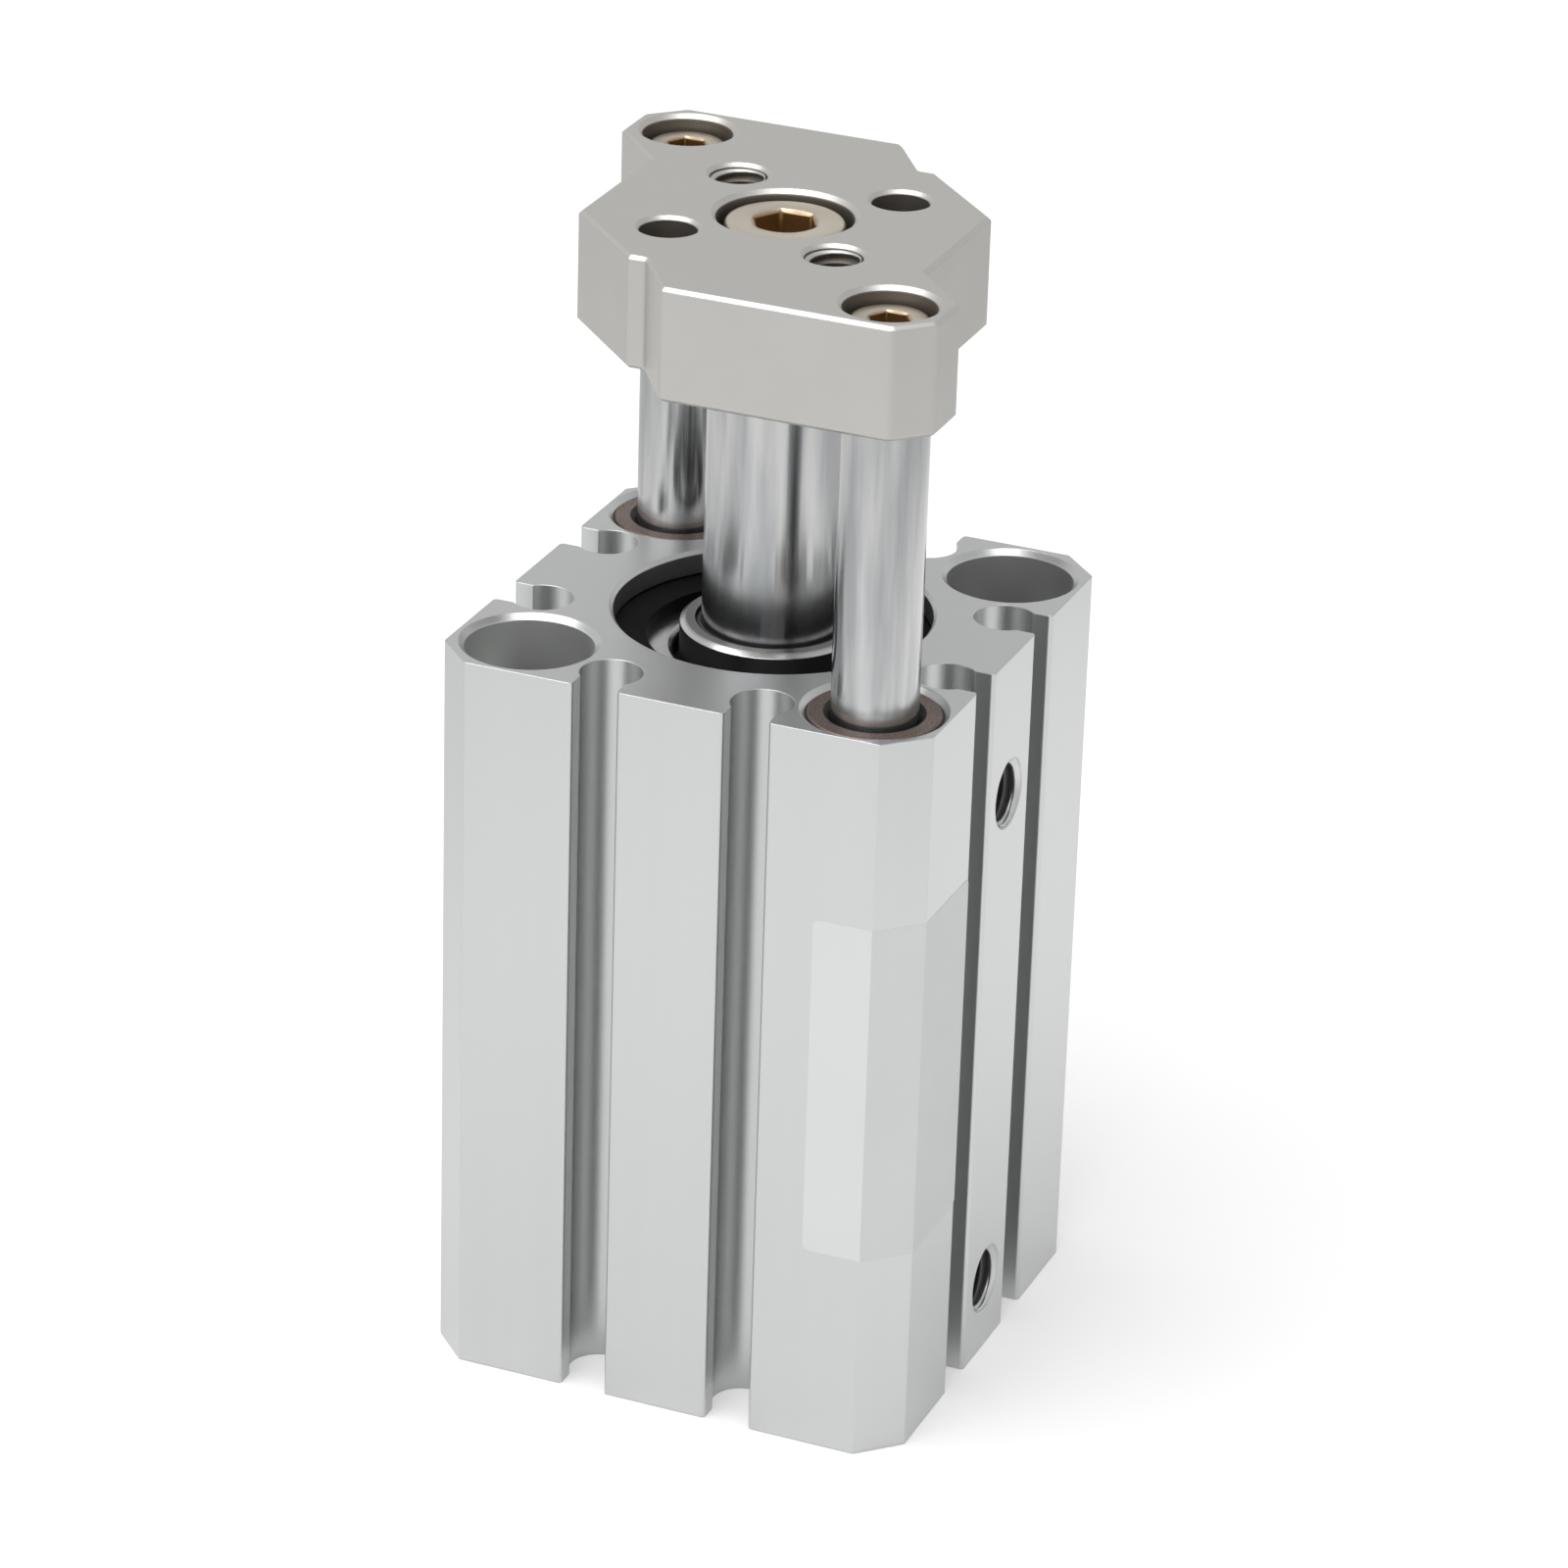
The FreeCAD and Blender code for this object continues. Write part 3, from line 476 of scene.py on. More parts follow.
@dataclass(frozen=True)
class MilledPlate(Finish):
    """Blasted and anodised plate, with painted shade on the walls of its holes and pockets."""

    hole_offset_mm: float = 6.0
    hole_mm: float = 2.1
    ridge_mm: float = 1.92
    screw_offset_mm: float = 12.75
    screw_pocket_mm: float = 3.2
    rod_pocket_mm: float = 4.75
    low_mm: float = 75.6
    high_mm: float = 83.2
    ridge_high_mm: float = 82.75

    def painted_shade(self, surface: Surface) -> Output:
        """Painted shade on every wall below the chamfers; each thread's first turn is left unshaded.

        Args:
            surface: the surface to shade.

        Returns:
            Share of the painted shade.
        """
        rise = surface.along(2)
        from_hole = surface.from_axis(self.hole_offset_mm)
        places = ((from_hole, -self.ridge_mm, self.ridge_mm, self.ridge_high_mm),
                  (from_hole, self.ridge_mm, self.hole_mm, self.high_mm),
                  (surface.from_axis(self.screw_offset_mm),
                   -self.screw_pocket_mm, self.screw_pocket_mm, self.high_mm),
                  (surface.from_axis(), -self.rod_pocket_mm, self.rod_pocket_mm, self.high_mm))
        walls = [surface.within((rise, self.low_mm, top_mm), (distance, near_mm, far_mm))
                 for distance, near_mm, far_mm, top_mm in places]
        return surface.fold("MAXIMUM", *walls).outputs[0]


@dataclass(frozen=True)
class TurnedMetal(Finish):
    """Metal turned on a lathe: fine feed marks in rings about the cylinder's axis."""

    feed_mm: float = 0.12
    dull_from_mm: float = 6.3
    dull_to_mm: float = 6.1
    moat_shade_from_mm: float = 6.42
    moat_shade_to_mm: float = 7.05
    moat_shade_low_mm: float = 49.9
    moat_shade_high_mm: float = 53.4

    def paint(self, surface: Surface) -> Output:
        """The boss's face is a darker, rougher grey than the flange.

        Args:
            surface: the surface to paint.

        Returns:
            Share of the second colour.
        """
        return add_node(surface.tree, MAP_RANGE,
                        {0: surface.from_axis(), 1: self.dull_from_mm * MM,
                         2: self.dull_to_mm * MM}).outputs[0]

    def height(self, surface: Surface) -> Output:
        """Rings that step outwards on a face and upwards on a cylinder.

        Args:
            surface: the surface to shape.

        Returns:
            Height of the relief.
        """
        along = add_node(surface.tree, MATH,
                         {0: surface.from_axis(), 1: surface.along(2)}).outputs[0]
        return surface.tool_marks(along, self.feed_mm, 1.0)

    def painted_shade(self, surface: Surface) -> Output:
        """Painted shade in the moat round the rod cover's boss and up the boss's side."""
        return surface.within((surface.from_axis(), self.moat_shade_from_mm, self.moat_shade_to_mm),
                              (surface.along(2), self.moat_shade_low_mm, self.moat_shade_high_mm))


@dataclass(frozen=True)
class GroundChrome(Finish):
    """Hard chrome, ground round and round: reflections draw out along the rod."""

    smear_mm: Sizes = (1.4, 1.4, 18.0)
    smear_low: float = 0.36
    smear_high: float = 0.64
    grinding_mm: float = 0.14

    def paint(self, surface: Surface) -> Output:
        """A thin oil film, smeared in streaks along the stroke.

        Args:
            surface: the surface to paint.

        Returns:
            Share of the second colour.
        """
        film = surface.grain(self.smear_mm, detail=3.0)
        return add_node(surface.tree, MAP_RANGE,
                        {0: film, 1: self.smear_low, 2: self.smear_high}).outputs[0]

    def height(self, surface: Surface) -> Output:
        """Grinding rings, a little coarser than real so that they show."""
        return surface.tool_marks(surface.along(2), self.grinding_mm, 2.0)


@dataclass(frozen=True)
class ZincPlate(Finish):
    """Zinc plating with a yellow passivation, and painted shade in its sockets."""

    def painted_shade(self, surface: Surface) -> Output:
        """Painted shade, brown, on the walls and floor of each socket."""
        return add_node(surface.tree, "ShaderNodeAttribute",
                        attribute_name=SOCKET_MARK).outputs["Fac"]


@dataclass(frozen=True)
class SinteredMetal(Finish):
    """Pressed and sintered bronze soaked with oil, with fine open pores."""

    pore_mm: float = 0.1
    pore_edge: float = 0.2
    pore_middle: float = 0.75
    rod_offset_mm: float = 12.75
    collar_mm: float = 3.5
    rim_mm: float = 4.58
    outside_mm: float = 4.8

    def paint(self, surface: Surface) -> Output:
        """Dark oil in the pores between the grains.

        Args:
            surface: the surface to paint.

        Returns:
            Share of the second colour.
        """
        cells = add_node(surface.tree, "ShaderNodeTexVoronoi",
                         {"Vector": surface.point, "Scale": 1 / (self.pore_mm * MM)})
        return add_node(surface.tree, MAP_RANGE,
                        {0: cells, 1: self.pore_edge, 2: self.pore_middle}).outputs[0]

    def painted_shade(self, surface: Surface) -> Output:
        """Painted shade on the lead-in next to the rod, and a painted dark line of shade round the
        rim.

        Args:
            surface: the surface to shade.

        Returns:
            Share of the painted shade.
        """
        distance = surface.from_axis(self.rod_offset_mm)
        collar = surface.within((distance, -self.collar_mm, self.collar_mm))
        rim = surface.within((distance, self.rim_mm, self.outside_mm))
        return surface.fold("MAXIMUM", collar, rim).outputs[0]


# Extruded aluminium body, etched and clear anodised: pale, satin, with faint upright streaks; its
# dark colour is painted shade in the ports.
EXTRUSION = ExtrudedAnodised("satin_anodised_extrusion", "anodised_aluminium",
                             "#CBCCCC", "#DADBDA", roughness=0.37, round_mm=0.12,
                             shade_colour="#7A7A79", shade_metallic=0.9)
# Milled aluminium plate, bead blasted and clear anodised: warmer, even grey, bright edges; its dark
# colour is painted shade in the holes and pockets.
PLATE = MilledPlate("blasted_anodised_plate", "plate_aluminium",
                    "#C8C7C3", "#C1C0BC", roughness=0.45, round_mm=0.15,
                    shade_colour="#767068", shade_metallic=0.9)
# Aluminium turned on a lathe and anodised: fine rings, bright flange, duller boss.
TURNED = TurnedMetal("fine_turned_aluminium", "turned_aluminium",
                     "#D2D2D1", "#9E9E9D", roughness=0.25, relief_mm=0.003)
# Steel, hard chromed and ground: a mirror whose pictures smear up and down the rod.
CHROME = GroundChrome("ground_hard_chrome", "chromed_steel", "#CCCCCB", "#A9ABAD",
                      roughness=0.17, relief_mm=0.0006, drawn_out=0.85)
# Steel screws, zinc plated and yellow passivated: pale cream, with painted brown shade inside the
# socket.
YELLOW_ZINC = ZincPlate("yellow_zinc_plating", "yellow_zinc_steel", "#D6CFC1", "#C9BDAE",
                        roughness=0.34, relief_mm=0.003, shade_colour="#94754C",
                        shade_roughness=0.35, shade_metallic=0.9)
# Spring steel dipped in manganese phosphate and oiled: almost black, with a dull sheen.
PHOSPHATE = Finish("manganese_phosphate", "phosphated_spring_steel",
                   "#080809", "#050506", metallic=0.0, roughness=0.55, sheen_level=0.06)
# Bronze powder pressed, sintered and soaked with oil: brown-grey, faintly speckled.
BRONZE = SinteredMetal("oiled_sintered_bronze", "sintered_bronze", "#887A74", "#675A54",
                       metallic=0.85, roughness=0.45, relief_mm=0.003)
# Nitrile rubber moulded in a polished tool: dark grey, lighter than black as painted sheen on the
# lip, with a soft sheen.
RUBBER = Finish("moulded_nitrile", "nitrile_rubber",
                "#3C3D3F", "#323335", metallic=0.0, roughness=0.5, sheen_level=0.3)
# Urethane cast as a ring: honey coloured, slightly glossy.
URETHANE = Finish("cast_urethane", "urethane", "#C9A25E", "#B98F4B", metallic=0.0, roughness=0.45)
# Resin with graphite, moulded as a band: dull, nearly black brown.
RESIN = Finish("filled_wear_resin", "wear_resin",
               "#3C3A38", "#312F2D", metallic=0.0, roughness=0.6)
# Ferrite powder bonded with resin: dull dark grey.
MAGNET = Finish("plastic_bonded_magnet", "bonded_magnet",
                "#3A3C3F", "#2C2E31", metallic=0.2, roughness=0.55)
# Matt polyester film with glue on its back: plain off-white, flatter than the metal.
FILM = Finish("matt_label_film", "label_film",
              "#D2D3D3", "#CDCECF", metallic=0.0, roughness=0.38, relief_mm=0.001, round_mm=0.02)

FINISHES = (EXTRUSION, PLATE, TURNED, CHROME, YELLOW_ZINC, PHOSPHATE, BRONZE, RUBBER,
            URETHANE, RESIN, MAGNET, FILM)


class Finishes:
    """Every material of the object, made once and found by its record slot."""

    def __init__(self) -> None:
        """Make the materials."""
        self.by_slot = {finish.slot: finish.build() for finish in FINISHES}

    def dress(self, body: Body) -> None:
        """Give each CAD node of a body the material of the slot that it came with.

        Args:
            body: the body whose nodes are dressed.
        """
        for node in frame["record"]["behaviour"]["bodies"][body.value]:
            slots = frame["nodes"][node].material_slots
            slots[0].material = self.by_slot[slots[0].material.name.split(".")[0]]
            log.info("%s: %s", node, slots[0].material.name)

    def of(self, finish: Finish) -> Material:
        """Find the material of a finish."""
        return self.by_slot[finish.slot]


# ---------------- geometry node trees


def new_tree(name: str, sizes: dict[str, str]) -> tuple[Tree, bpy.types.NodeOutputs]:
    """Start a geometry tree with named inputs.

    Args:
        name: the tree's name.
        sizes: the last part of each input's socket type, by the input's name.

    Returns:
        The tree and its inputs, by name.
    """
    tree = bpy.data.node_groups.new(name, "GeometryNodeTree")
    for way in ("INPUT", "OUTPUT"):
        tree.interface.new_socket("Geometry", in_out=way, socket_type="NodeSocketGeometry")
    for label, kind in sizes.items():
        tree.interface.new_socket(label, in_out="INPUT", socket_type="NodeSocket" + kind)
    return tree, tree.nodes.new("NodeGroupInput").outputs


def close_tree(tree: Tree, shape: Node, finish: Output) -> None:
    """End a geometry tree: real faces, one finish, and the output.

    Args:
        tree: the tree.
        shape: the node that gives the finished geometry.
        finish: the material input.
    """
    real = add_node(tree, "GeometryNodeRealizeInstances", {0: shape})
    dressed = add_node(tree, "GeometryNodeSetMaterial", {0: real, "Material": finish})
    add_node(tree, "NodeGroupOutput", {0: dressed})


def grow(tree: Tree, seed: Mesh, values: dict) -> Mesh:
    """Run a geometry tree on a mesh and keep the result as a plain mesh.

    Args:
        tree: the geometry tree.
        seed: the mesh that the tree starts from.
        values: the value of each named input.

    Returns:
        The finished mesh.
    """
    carrier = add_object(tree.name + "_carrier", seed)
    modifier = carrier.modifiers.new(tree.name, "NODES")
    modifier.node_group = tree
    for item in tree.interface.items_tree:
        if item.in_out == "INPUT" and item.name in values:
            modifier[item.identifier] = values[item.name]
    graph = bpy.context.evaluated_depsgraph_get()
    mesh = bpy.data.meshes.new_from_object(carrier.evaluated_get(graph))
    carrier.modifiers.clear()
    bpy.data.objects.remove(carrier)
    return mesh


def make_lathe_tree() -> Tree:
    """Make the tree that turns a half section about Z.

    The section is a line of points at (radius, 0, height).  Its "hexagon" attribute says
    where the radius follows a hexagon, and "knurl" where teeth are pressed in.

    Returns:
        The tree.
    """
    tree, given = new_tree("turned_from_section", {
        "Segments": "Int", "Teeth": "Int", "Tooth Depth": "Float", "Seat": "Vector",
        "Finish": "Material"})
    section = given["Geometry"]
    count = add_node(tree, "GeometryNodeAttributeDomainSize", {0: section})
    columns = add_node(tree, MATH, {0: given["Segments"], 1: 1.0})
    sheet = add_node(tree, "GeometryNodeMeshGrid", {0: 1.0, 1: 1.0, 2: columns, 3: count})
    here = add_node(tree, "GeometryNodeInputPosition")
    place = add_node(tree, SPLIT, {0: here})

    # Row of the sheet = point of the section; column = angle.  The sheet is one metre wide
    # and deep about its middle, so half a metre makes both start at zero.
    half = 0.5
    last = add_node(tree, MATH, {0: count, 1: 1.0}, operation="SUBTRACT")
    down = add_node(tree, MATH, {0: place.outputs[1], 1: half})
    row = add_node(tree, MATH, {0: down, 1: last}, operation="MULTIPLY")
    index = add_node(tree, MATH, {0: row}, operation="ROUND")
    across = add_node(tree, MATH, {0: place.outputs[0], 1: half})
    angle = add_node(tree, MATH, {0: across, 1: math.tau}, operation="MULTIPLY")
    point = add_node(tree, "GeometryNodeSampleIndex", {0: section, 1: here, 2: index},
                     data_type="FLOAT_VECTOR", domain="POINT")
    corner = add_node(tree, SPLIT, {0: point})
    weights = {}
    for label in ("hexagon", "knurl"):
        stored = add_node(tree, "GeometryNodeInputNamedAttribute", {"Name": label},
                          data_type="FLOAT")
        weights[label] = add_node(tree, "GeometryNodeSampleIndex",
                                  {0: section, 1: stored, 2: index},
                                  data_type="FLOAT", domain="POINT")

    # A hexagon's radius is its half width over the cosine of the angle from a flat's middle.
    turn = add_node(tree, MATH, {0: angle, 1: math.pi / 3}, operation="MODULO")
    off_flat = add_node(tree, MATH, {0: turn, 1: math.pi / 6}, operation="SUBTRACT")
    cosine = add_node(tree, MATH, {0: off_flat}, operation="COSINE")
    stretch = add_node(tree, MATH, {0: 1.0, 1: cosine}, operation="DIVIDE")
    factor = add_node(tree, MIX, {0: weights["hexagon"], 2: 1.0, 3: stretch}, data_type="FLOAT")
    shaped = add_node(tree, MATH, {0: corner, 1: factor}, operation="MULTIPLY")

    # Teeth: a wave round the head, pressed in from its full radius.
    tooth_angle = add_node(tree, MATH, {0: angle, 1: given["Teeth"]}, operation="MULTIPLY")
    wave = add_node(tree, MATH, {0: tooth_angle}, operation="COSINE")
    trough = add_node(tree, MAP_RANGE, {0: wave, 1: -1.0, 3: 1.0, 4: 0.0})
    pressed = add_node(tree, MATH, {0: trough, 1: given["Tooth Depth"]}, operation="MULTIPLY")
    tooth = add_node(tree, MATH, {0: pressed, 1: weights["knurl"]}, operation="MULTIPLY")
    radius = add_node(tree, MATH, {0: shaped, 1: tooth}, operation="SUBTRACT")

    reach = {}
    for axis, kind in enumerate(("COSINE", "SINE")):
        side = add_node(tree, MATH, {0: angle}, operation=kind)
        reach[axis] = add_node(tree, MATH, {0: radius, 1: side}, operation="MULTIPLY")
    spot = add_node(tree, JOIN, {**reach, 2: corner.outputs[2]})
    seated = add_node(tree, VECTOR_MATH, {0: spot, 1: given["Seat"]})
    # The socket's share is kept for the painted shade in the socket.
    marked = add_node(tree, "GeometryNodeStoreNamedAttribute",
                      {0: sheet, "Name": SOCKET_MARK, "Value": weights["hexagon"]},
                      data_type="FLOAT", domain="POINT")
    turned = add_node(tree, "GeometryNodeSetPosition", {0: marked, "Position": seated})
    closed = add_node(tree, "GeometryNodeMergeByDistance", {0: turned, "Distance": WELD})
    close_tree(tree, closed, given["Finish"])
    return tree


def make_thread_tree() -> Tree:
    """Make the tree that winds a thread's ridge up a cylinder.

    Returns:
        The tree.
    """
    root_share, crest_share = 0.9, 0.2
    run_out, run_out_size = 0.06, 0.05
    tree, given = new_tree("wound_thread", {
        "Radius": "Float", "Pitch": "Float", "Turns": "Float", "Ridge": "Float",
        "Side": "Float", "Steps": "Int", "Finish": "Material"})
    turns, radius, pitch = (given[label] for label in ("Turns", "Radius", "Pitch"))
    rise = add_node(tree, MATH, {0: pitch, 1: turns}, operation="MULTIPLY")
    helix = add_node(tree, "GeometryNodeCurveSpiral",
                     {0: given["Steps"], 1: turns, 2: radius, 3: radius, 4: rise})
    upright = add_node(tree, "GeometryNodeSetCurveNormal", {0: helix}, mode="Z_UP")
    root, crest = (add_node(tree, MATH, {0: pitch, 1: share}, operation="MULTIPLY")
                   for share in (root_share, crest_share))
    tooth = add_node(tree, "GeometryNodeCurvePrimitiveQuadrilateral",
                     {"Height": given["Ridge"], "Bottom Width": root,
                      "Top Width": crest, "Offset": 0.0}, mode="TRAPEZOID")
    turn = add_node(tree, MATH, {0: given["Side"], 1: math.pi / 2}, operation="MULTIPLY")
    about = add_node(tree, JOIN, {2: turn})
    outward = add_node(tree, "GeometryNodeTransform", {0: tooth, "Rotation": about})

    # The ridge runs out to nothing over its first and last part, as a cut thread does.
    factor = add_node(tree, "GeometryNodeSplineParameter")
    from_end = add_node(tree, MATH, {0: 1.0, 1: factor}, operation="SUBTRACT")
    nearest = add_node(tree, MATH, {0: factor, 1: from_end}, operation="MINIMUM")
    fade = add_node(tree, MAP_RANGE, {0: nearest, 2: run_out, 3: run_out_size})
    wound = add_node(tree, "GeometryNodeCurveToMesh",
                     {0: upright, 1: outward, "Scale": fade, "Fill Caps": True})
    close_tree(tree, wound, given["Finish"])
    return tree


@dataclass
class Thread:
    """A metric thread wound on a cylinder, as a mesh along +Z from its own origin.

    The ridge stands on the cylinder of the given radius, with its foot sunk a little way in.
    """

    tree: Tree
    radius: float
    pitch_mm: float
    length: float
    side: Ridge
    depth_share: float = 0.54
    foot_mm: float = 0.02
    steps: int = 48

    def mesh(self, finish: Material) -> Mesh:
        """Wind the ridge.

        Args:
            finish: the ridge's material.

        Returns:
            The ridge's mesh, with its faces outwards.
        """
        pitch = self.pitch_mm * MM
        depth = pitch * self.depth_share
        foot = self.foot_mm * MM
        return close_up(grow(self.tree, bpy.data.meshes.new("thread_seed"), {
            "Radius": self.radius + self.side.value * (depth - foot) / 2,
            "Pitch": pitch, "Turns": self.length / pitch,
            "Ridge": depth + foot, "Side": float(self.side.value),
            "Steps": self.steps, "Finish": finish}))


@dataclass
class FirstTurn:
    """First turn of a tapped hole, cut back by the countersink, as a ring along +Z.

    Its outer slope carries the countersink on down to the thread's crest.
    """

    tree: Tree
    radius: float
    crest_mm: float = 0.4
    back_mm: float = 0.25
    sunk_mm: float = 0.02
    segments: int = 96

    def mesh(self, finish: Material) -> Mesh:
        """Turn the ring, with its mouth at height zero.

        Args:
            finish: the ring's material.

        Returns:
            The ring's mesh, with its faces outwards.
        """
        wall = self.radius + self.sunk_mm * MM
        crest = self.radius - self.crest_mm * MM
        points = [(wall, 0.0), (crest, -self.crest_mm * MM),
                  (wall, -(self.crest_mm + self.back_mm) * MM), (wall, 0.0)]
        return close_up(grow(self.tree, chain("first_turn_section", points),
                             {"Segments": self.segments, "Finish": finish}))


class Works:
    """The two trees that make the turned and threaded pieces, and what they make of them."""

    def __init__(self) -> None:
        """Make the trees."""
        self.lathe = make_lathe_tree()
        self.winder = make_thread_tree()

    def tap(self, hole: str, pitch_mm: float, finish: Material, countersunk: bool) -> Mesh:
        """Wind a thread on the wall of a hole that the record states.

        Args:
            hole: the name of the hole's mount, whose axis is X or Z.
            pitch_mm: the thread's pitch.
            finish: the thread's material.
            countersunk: whether the first turn is cut back and shows as a ring.

        Returns:
            The thread's mesh, in its place.
        """
        facts = next(item for item in frame["record"]["mounts"] if item["name"] == hole)
        radius, length = (facts["dims"][key] * MM for key in ("r_mm", "length_mm"))
        mesh = Thread(self.winder, radius, pitch_mm, length, Ridge.INWARD).mesh(finish)
        if countersunk:
            ring = FirstTurn(self.lathe, radius).mesh(finish)
            ring.transform(Matrix.Translation((0, 0, length)))
            close_up(mesh, ring)
        axis = Vector(facts["axis"])
        lie = Matrix.Rotation(Vector((0, 0, 1)).angle(axis), 4, "Y")
        mesh.transform(Matrix.Translation(Vector(facts["pos_m"]) - axis * (length / 2)) @ lie)
        sharpen(mesh)
        return mesh


# ---------------- screws


@dataclass
class CapScrew:
    """A socket cap screw that takes the place of a plain CAD screw."""

    node: str
    name: str
    key_mm: float
    key_depth_mm: float
    head_height_mm: float
    shank_mm: float
    pitch_mm: float
    teeth: int
    edge_mm: float = 0.35
    tooth_depth_mm: float = 0.09
    root_share: float = 0.6
    thread_depth_share: float = 0.55
    tip_width_mm: float = 0.2
    tip_height_mm: float = 0.3
    neck_mm: float = 0.02
    knurl_top_share: float = 1.4
    rounding_steps: int = 6
    mouth_mm: float = 0.12
    lip_mm: float = 0.04
    lip_drop_mm: float = 0.03
    lip_hexagon: float = 0.1
    mouth_share: float = 0.12
    drill_share: float = 0.35
    segments: int = 240

    @property
    def root_mm(self) -> float:
        """Radius at the thread's root."""
        return self.shank_mm - self.pitch_mm * self.root_share

    def section(self) -> list[tuple[float, float, float, float]]:
        """Half section from the tip, up the outside and down into the socket.

        Returns:
            Radius, height, hexagon share and knurl share of each point, in millimetres,
            with the head's seat at height zero.
        """
        low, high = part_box(self.node)
        head = (high.x - low.x) / 2 / MM
        tip = -((high.z - low.z) / MM - self.head_height_mm)
        top = self.head_height_mm
        edge = self.edge_mm
        root = self.root_mm
        corner = self.key_mm / math.sqrt(3)
        flat = self.key_mm / 2
        points = [(0.0, tip, 0, 0), (root - self.tip_width_mm, tip, 0, 0),
                  (root, tip + self.tip_height_mm, 0, 0), (root, -self.pitch_mm, 0, 0),
                  (self.shank_mm - self.neck_mm, -self.pitch_mm / 2, 0, 0),
                  (self.shank_mm, 0.0, 0, 0), (head - edge / 2, 0.0, 0, 0),
                  (head, edge / 2, 0, 0), (head, edge, 0, 1),
                  (head, top - edge * self.knurl_top_share, 0, 1)]
        for step in range(self.rounding_steps + 1):
            turn = step / self.rounding_steps * math.pi / 2
            points.append((head - edge + edge * math.cos(turn),
                           top - edge + edge * math.sin(turn), 0, 0))
        points += [(corner + self.mouth_mm, top, 0, 0),
                   (corner + self.lip_mm, top - self.lip_drop_mm, self.lip_hexagon, 0),
                   (flat, top - self.mouth_share * flat, 1, 0),
                   (flat, top - self.key_depth_mm, 1, 0),
                   (0.0, top - self.key_depth_mm - flat * self.drill_share, 1, 0)]
        return points

    def build(self, works: Works, finish: Material) -> Object:
        """Make the screw in its place.

        Args:
            works: the trees that turn and wind.
            finish: the screw's material.

        Returns:
            The screw.
        """
        low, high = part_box(self.node)
        middle = (low + high) / 2
        seat = Vector((middle.x, middle.y, high.z - self.head_height_mm * MM))
        pitch = self.pitch_mm * MM
        points = self.section()
        seed = chain("screw_section", [(radius * MM, height * MM) for radius, height, *_ in points])
        for label, place in (("hexagon", 2), ("knurl", 3)):
            layer = seed.attributes.new(label, "FLOAT", "POINT")
            layer.data.foreach_set("value", [float(point[place]) for point in points])
        mesh = grow(works.lathe, seed, {
            "Segments": self.segments, "Teeth": self.teeth,
            "Tooth Depth": self.tooth_depth_mm * MM, "Seat": seat, "Finish": finish})
        ridge = Thread(works.winder, self.root_mm * MM, self.pitch_mm,
                       seat.z - low.z - 2 * pitch, Ridge.OUTWARD, self.thread_depth_share)
        winding = ridge.mesh(finish)
        winding.transform(Matrix.Translation((seat.x, seat.y, low.z + pitch / 2)))
        sharpen(close_up(mesh, winding))
        return add_piece(self.name, mesh)


# ---------------- label


@dataclass
class WrapLabel:
    """Bare film label that goes round the front right corner of the tube."""

    name: str = "corner_label"
    low_mm: float = 15.3
    high_mm: float = 40.7
    front_start_mm: float = 10.9
    side_end_mm: float = -7.35
    corner_mm: float = 2.8
    thickness_mm: float = 0.02
    rounding_mm: float = 0.5
    rounding_steps: int = 6

    def route(self) -> list[Vector]:
        """Path round the corner: along the front, over the chamfer, along the side.

        Returns:
            The path's points in the XY plane, in millimetres.
        """
        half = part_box("cylinder_tube")[1].x / MM
        cut = half - self.corner_mm
        return [Vector((self.front_start_mm, -half)), Vector((cut, -half)),
                Vector((half, -cut)), Vector((half, self.side_end_mm))]

    def outline(self, length: float) -> list[tuple[float, float]]:
        """Outline of the flat label, with rounded corners.

        Args:
            length: the label's length round the corner.

        Returns:
            Points along the path and up, in millimetres.
        """
        radius = self.rounding_mm
        centres = [(length - radius, self.low_mm + radius), (length - radius, self.high_mm - radius),
                   (radius, self.high_mm - radius), (radius, self.low_mm + radius)]
        points = []
        for quarter, (along, up) in enumerate(centres):
            for step in range(self.rounding_steps + 1):
                turn = math.radians(90 * (quarter - 1) + 90 / self.rounding_steps * step)
                points.append((along + radius * math.cos(turn), up + radius * math.sin(turn)))
        return points

    def place(self, along: float, up: float, proud: float) -> Vector:
        """Turn a point of the flat label into its place on the tube.

        Args:
            along: distance from the label's edge on the front face.
            up: height above the base.
            proud: distance off the metal.

        Returns:
            The point, in metres.
        """
        route = self.route()
        for start, end in zip(route, route[1:]):
            run = (end - start).length
            if along <= run or end == route[-1]:
                way = (end - start) / run
                spot = start + way * along + Vector((way.y, -way.x)) * proud
                return Vector((spot.x, spot.y, up)) * MM
            along -= run
        raise ValueError("the label has no route")

    def build(self, finish: Material) -> Object:
        """Cut the flat label, fold it and give it its thickness.

        Args:
            finish: the film's material.

        Returns:
            The label.
        """
        route = self.route()
        runs = [(end - start).length for start, end in zip(route, route[1:])]
        work = bmesh.new()
        work.faces.new([work.verts.new((*point, 0.0)) for point in self.outline(sum(runs))])
        for fold in (runs[0], runs[0] + runs[1]):
            bmesh.ops.bisect_plane(work, geom=[*work.verts, *work.edges, *work.faces],
                                   plane_co=(fold, 0.0, 0.0), plane_no=(1.0, 0.0, 0.0))
        raised = bmesh.ops.extrude_face_region(work, geom=list(work.faces))["geom"]
        for vert in raised:
            if isinstance(vert, bmesh.types.BMVert):
                vert.co.z = self.thickness_mm
        for vert in work.verts:
            vert.co = self.place(*vert.co)
        mesh = bpy.data.meshes.new(self.name)
        work.to_mesh(mesh)
        work.free()
        mesh.materials.append(finish)
        return add_piece(self.name, close_up(mesh))


# ---------------- sub-assemblies


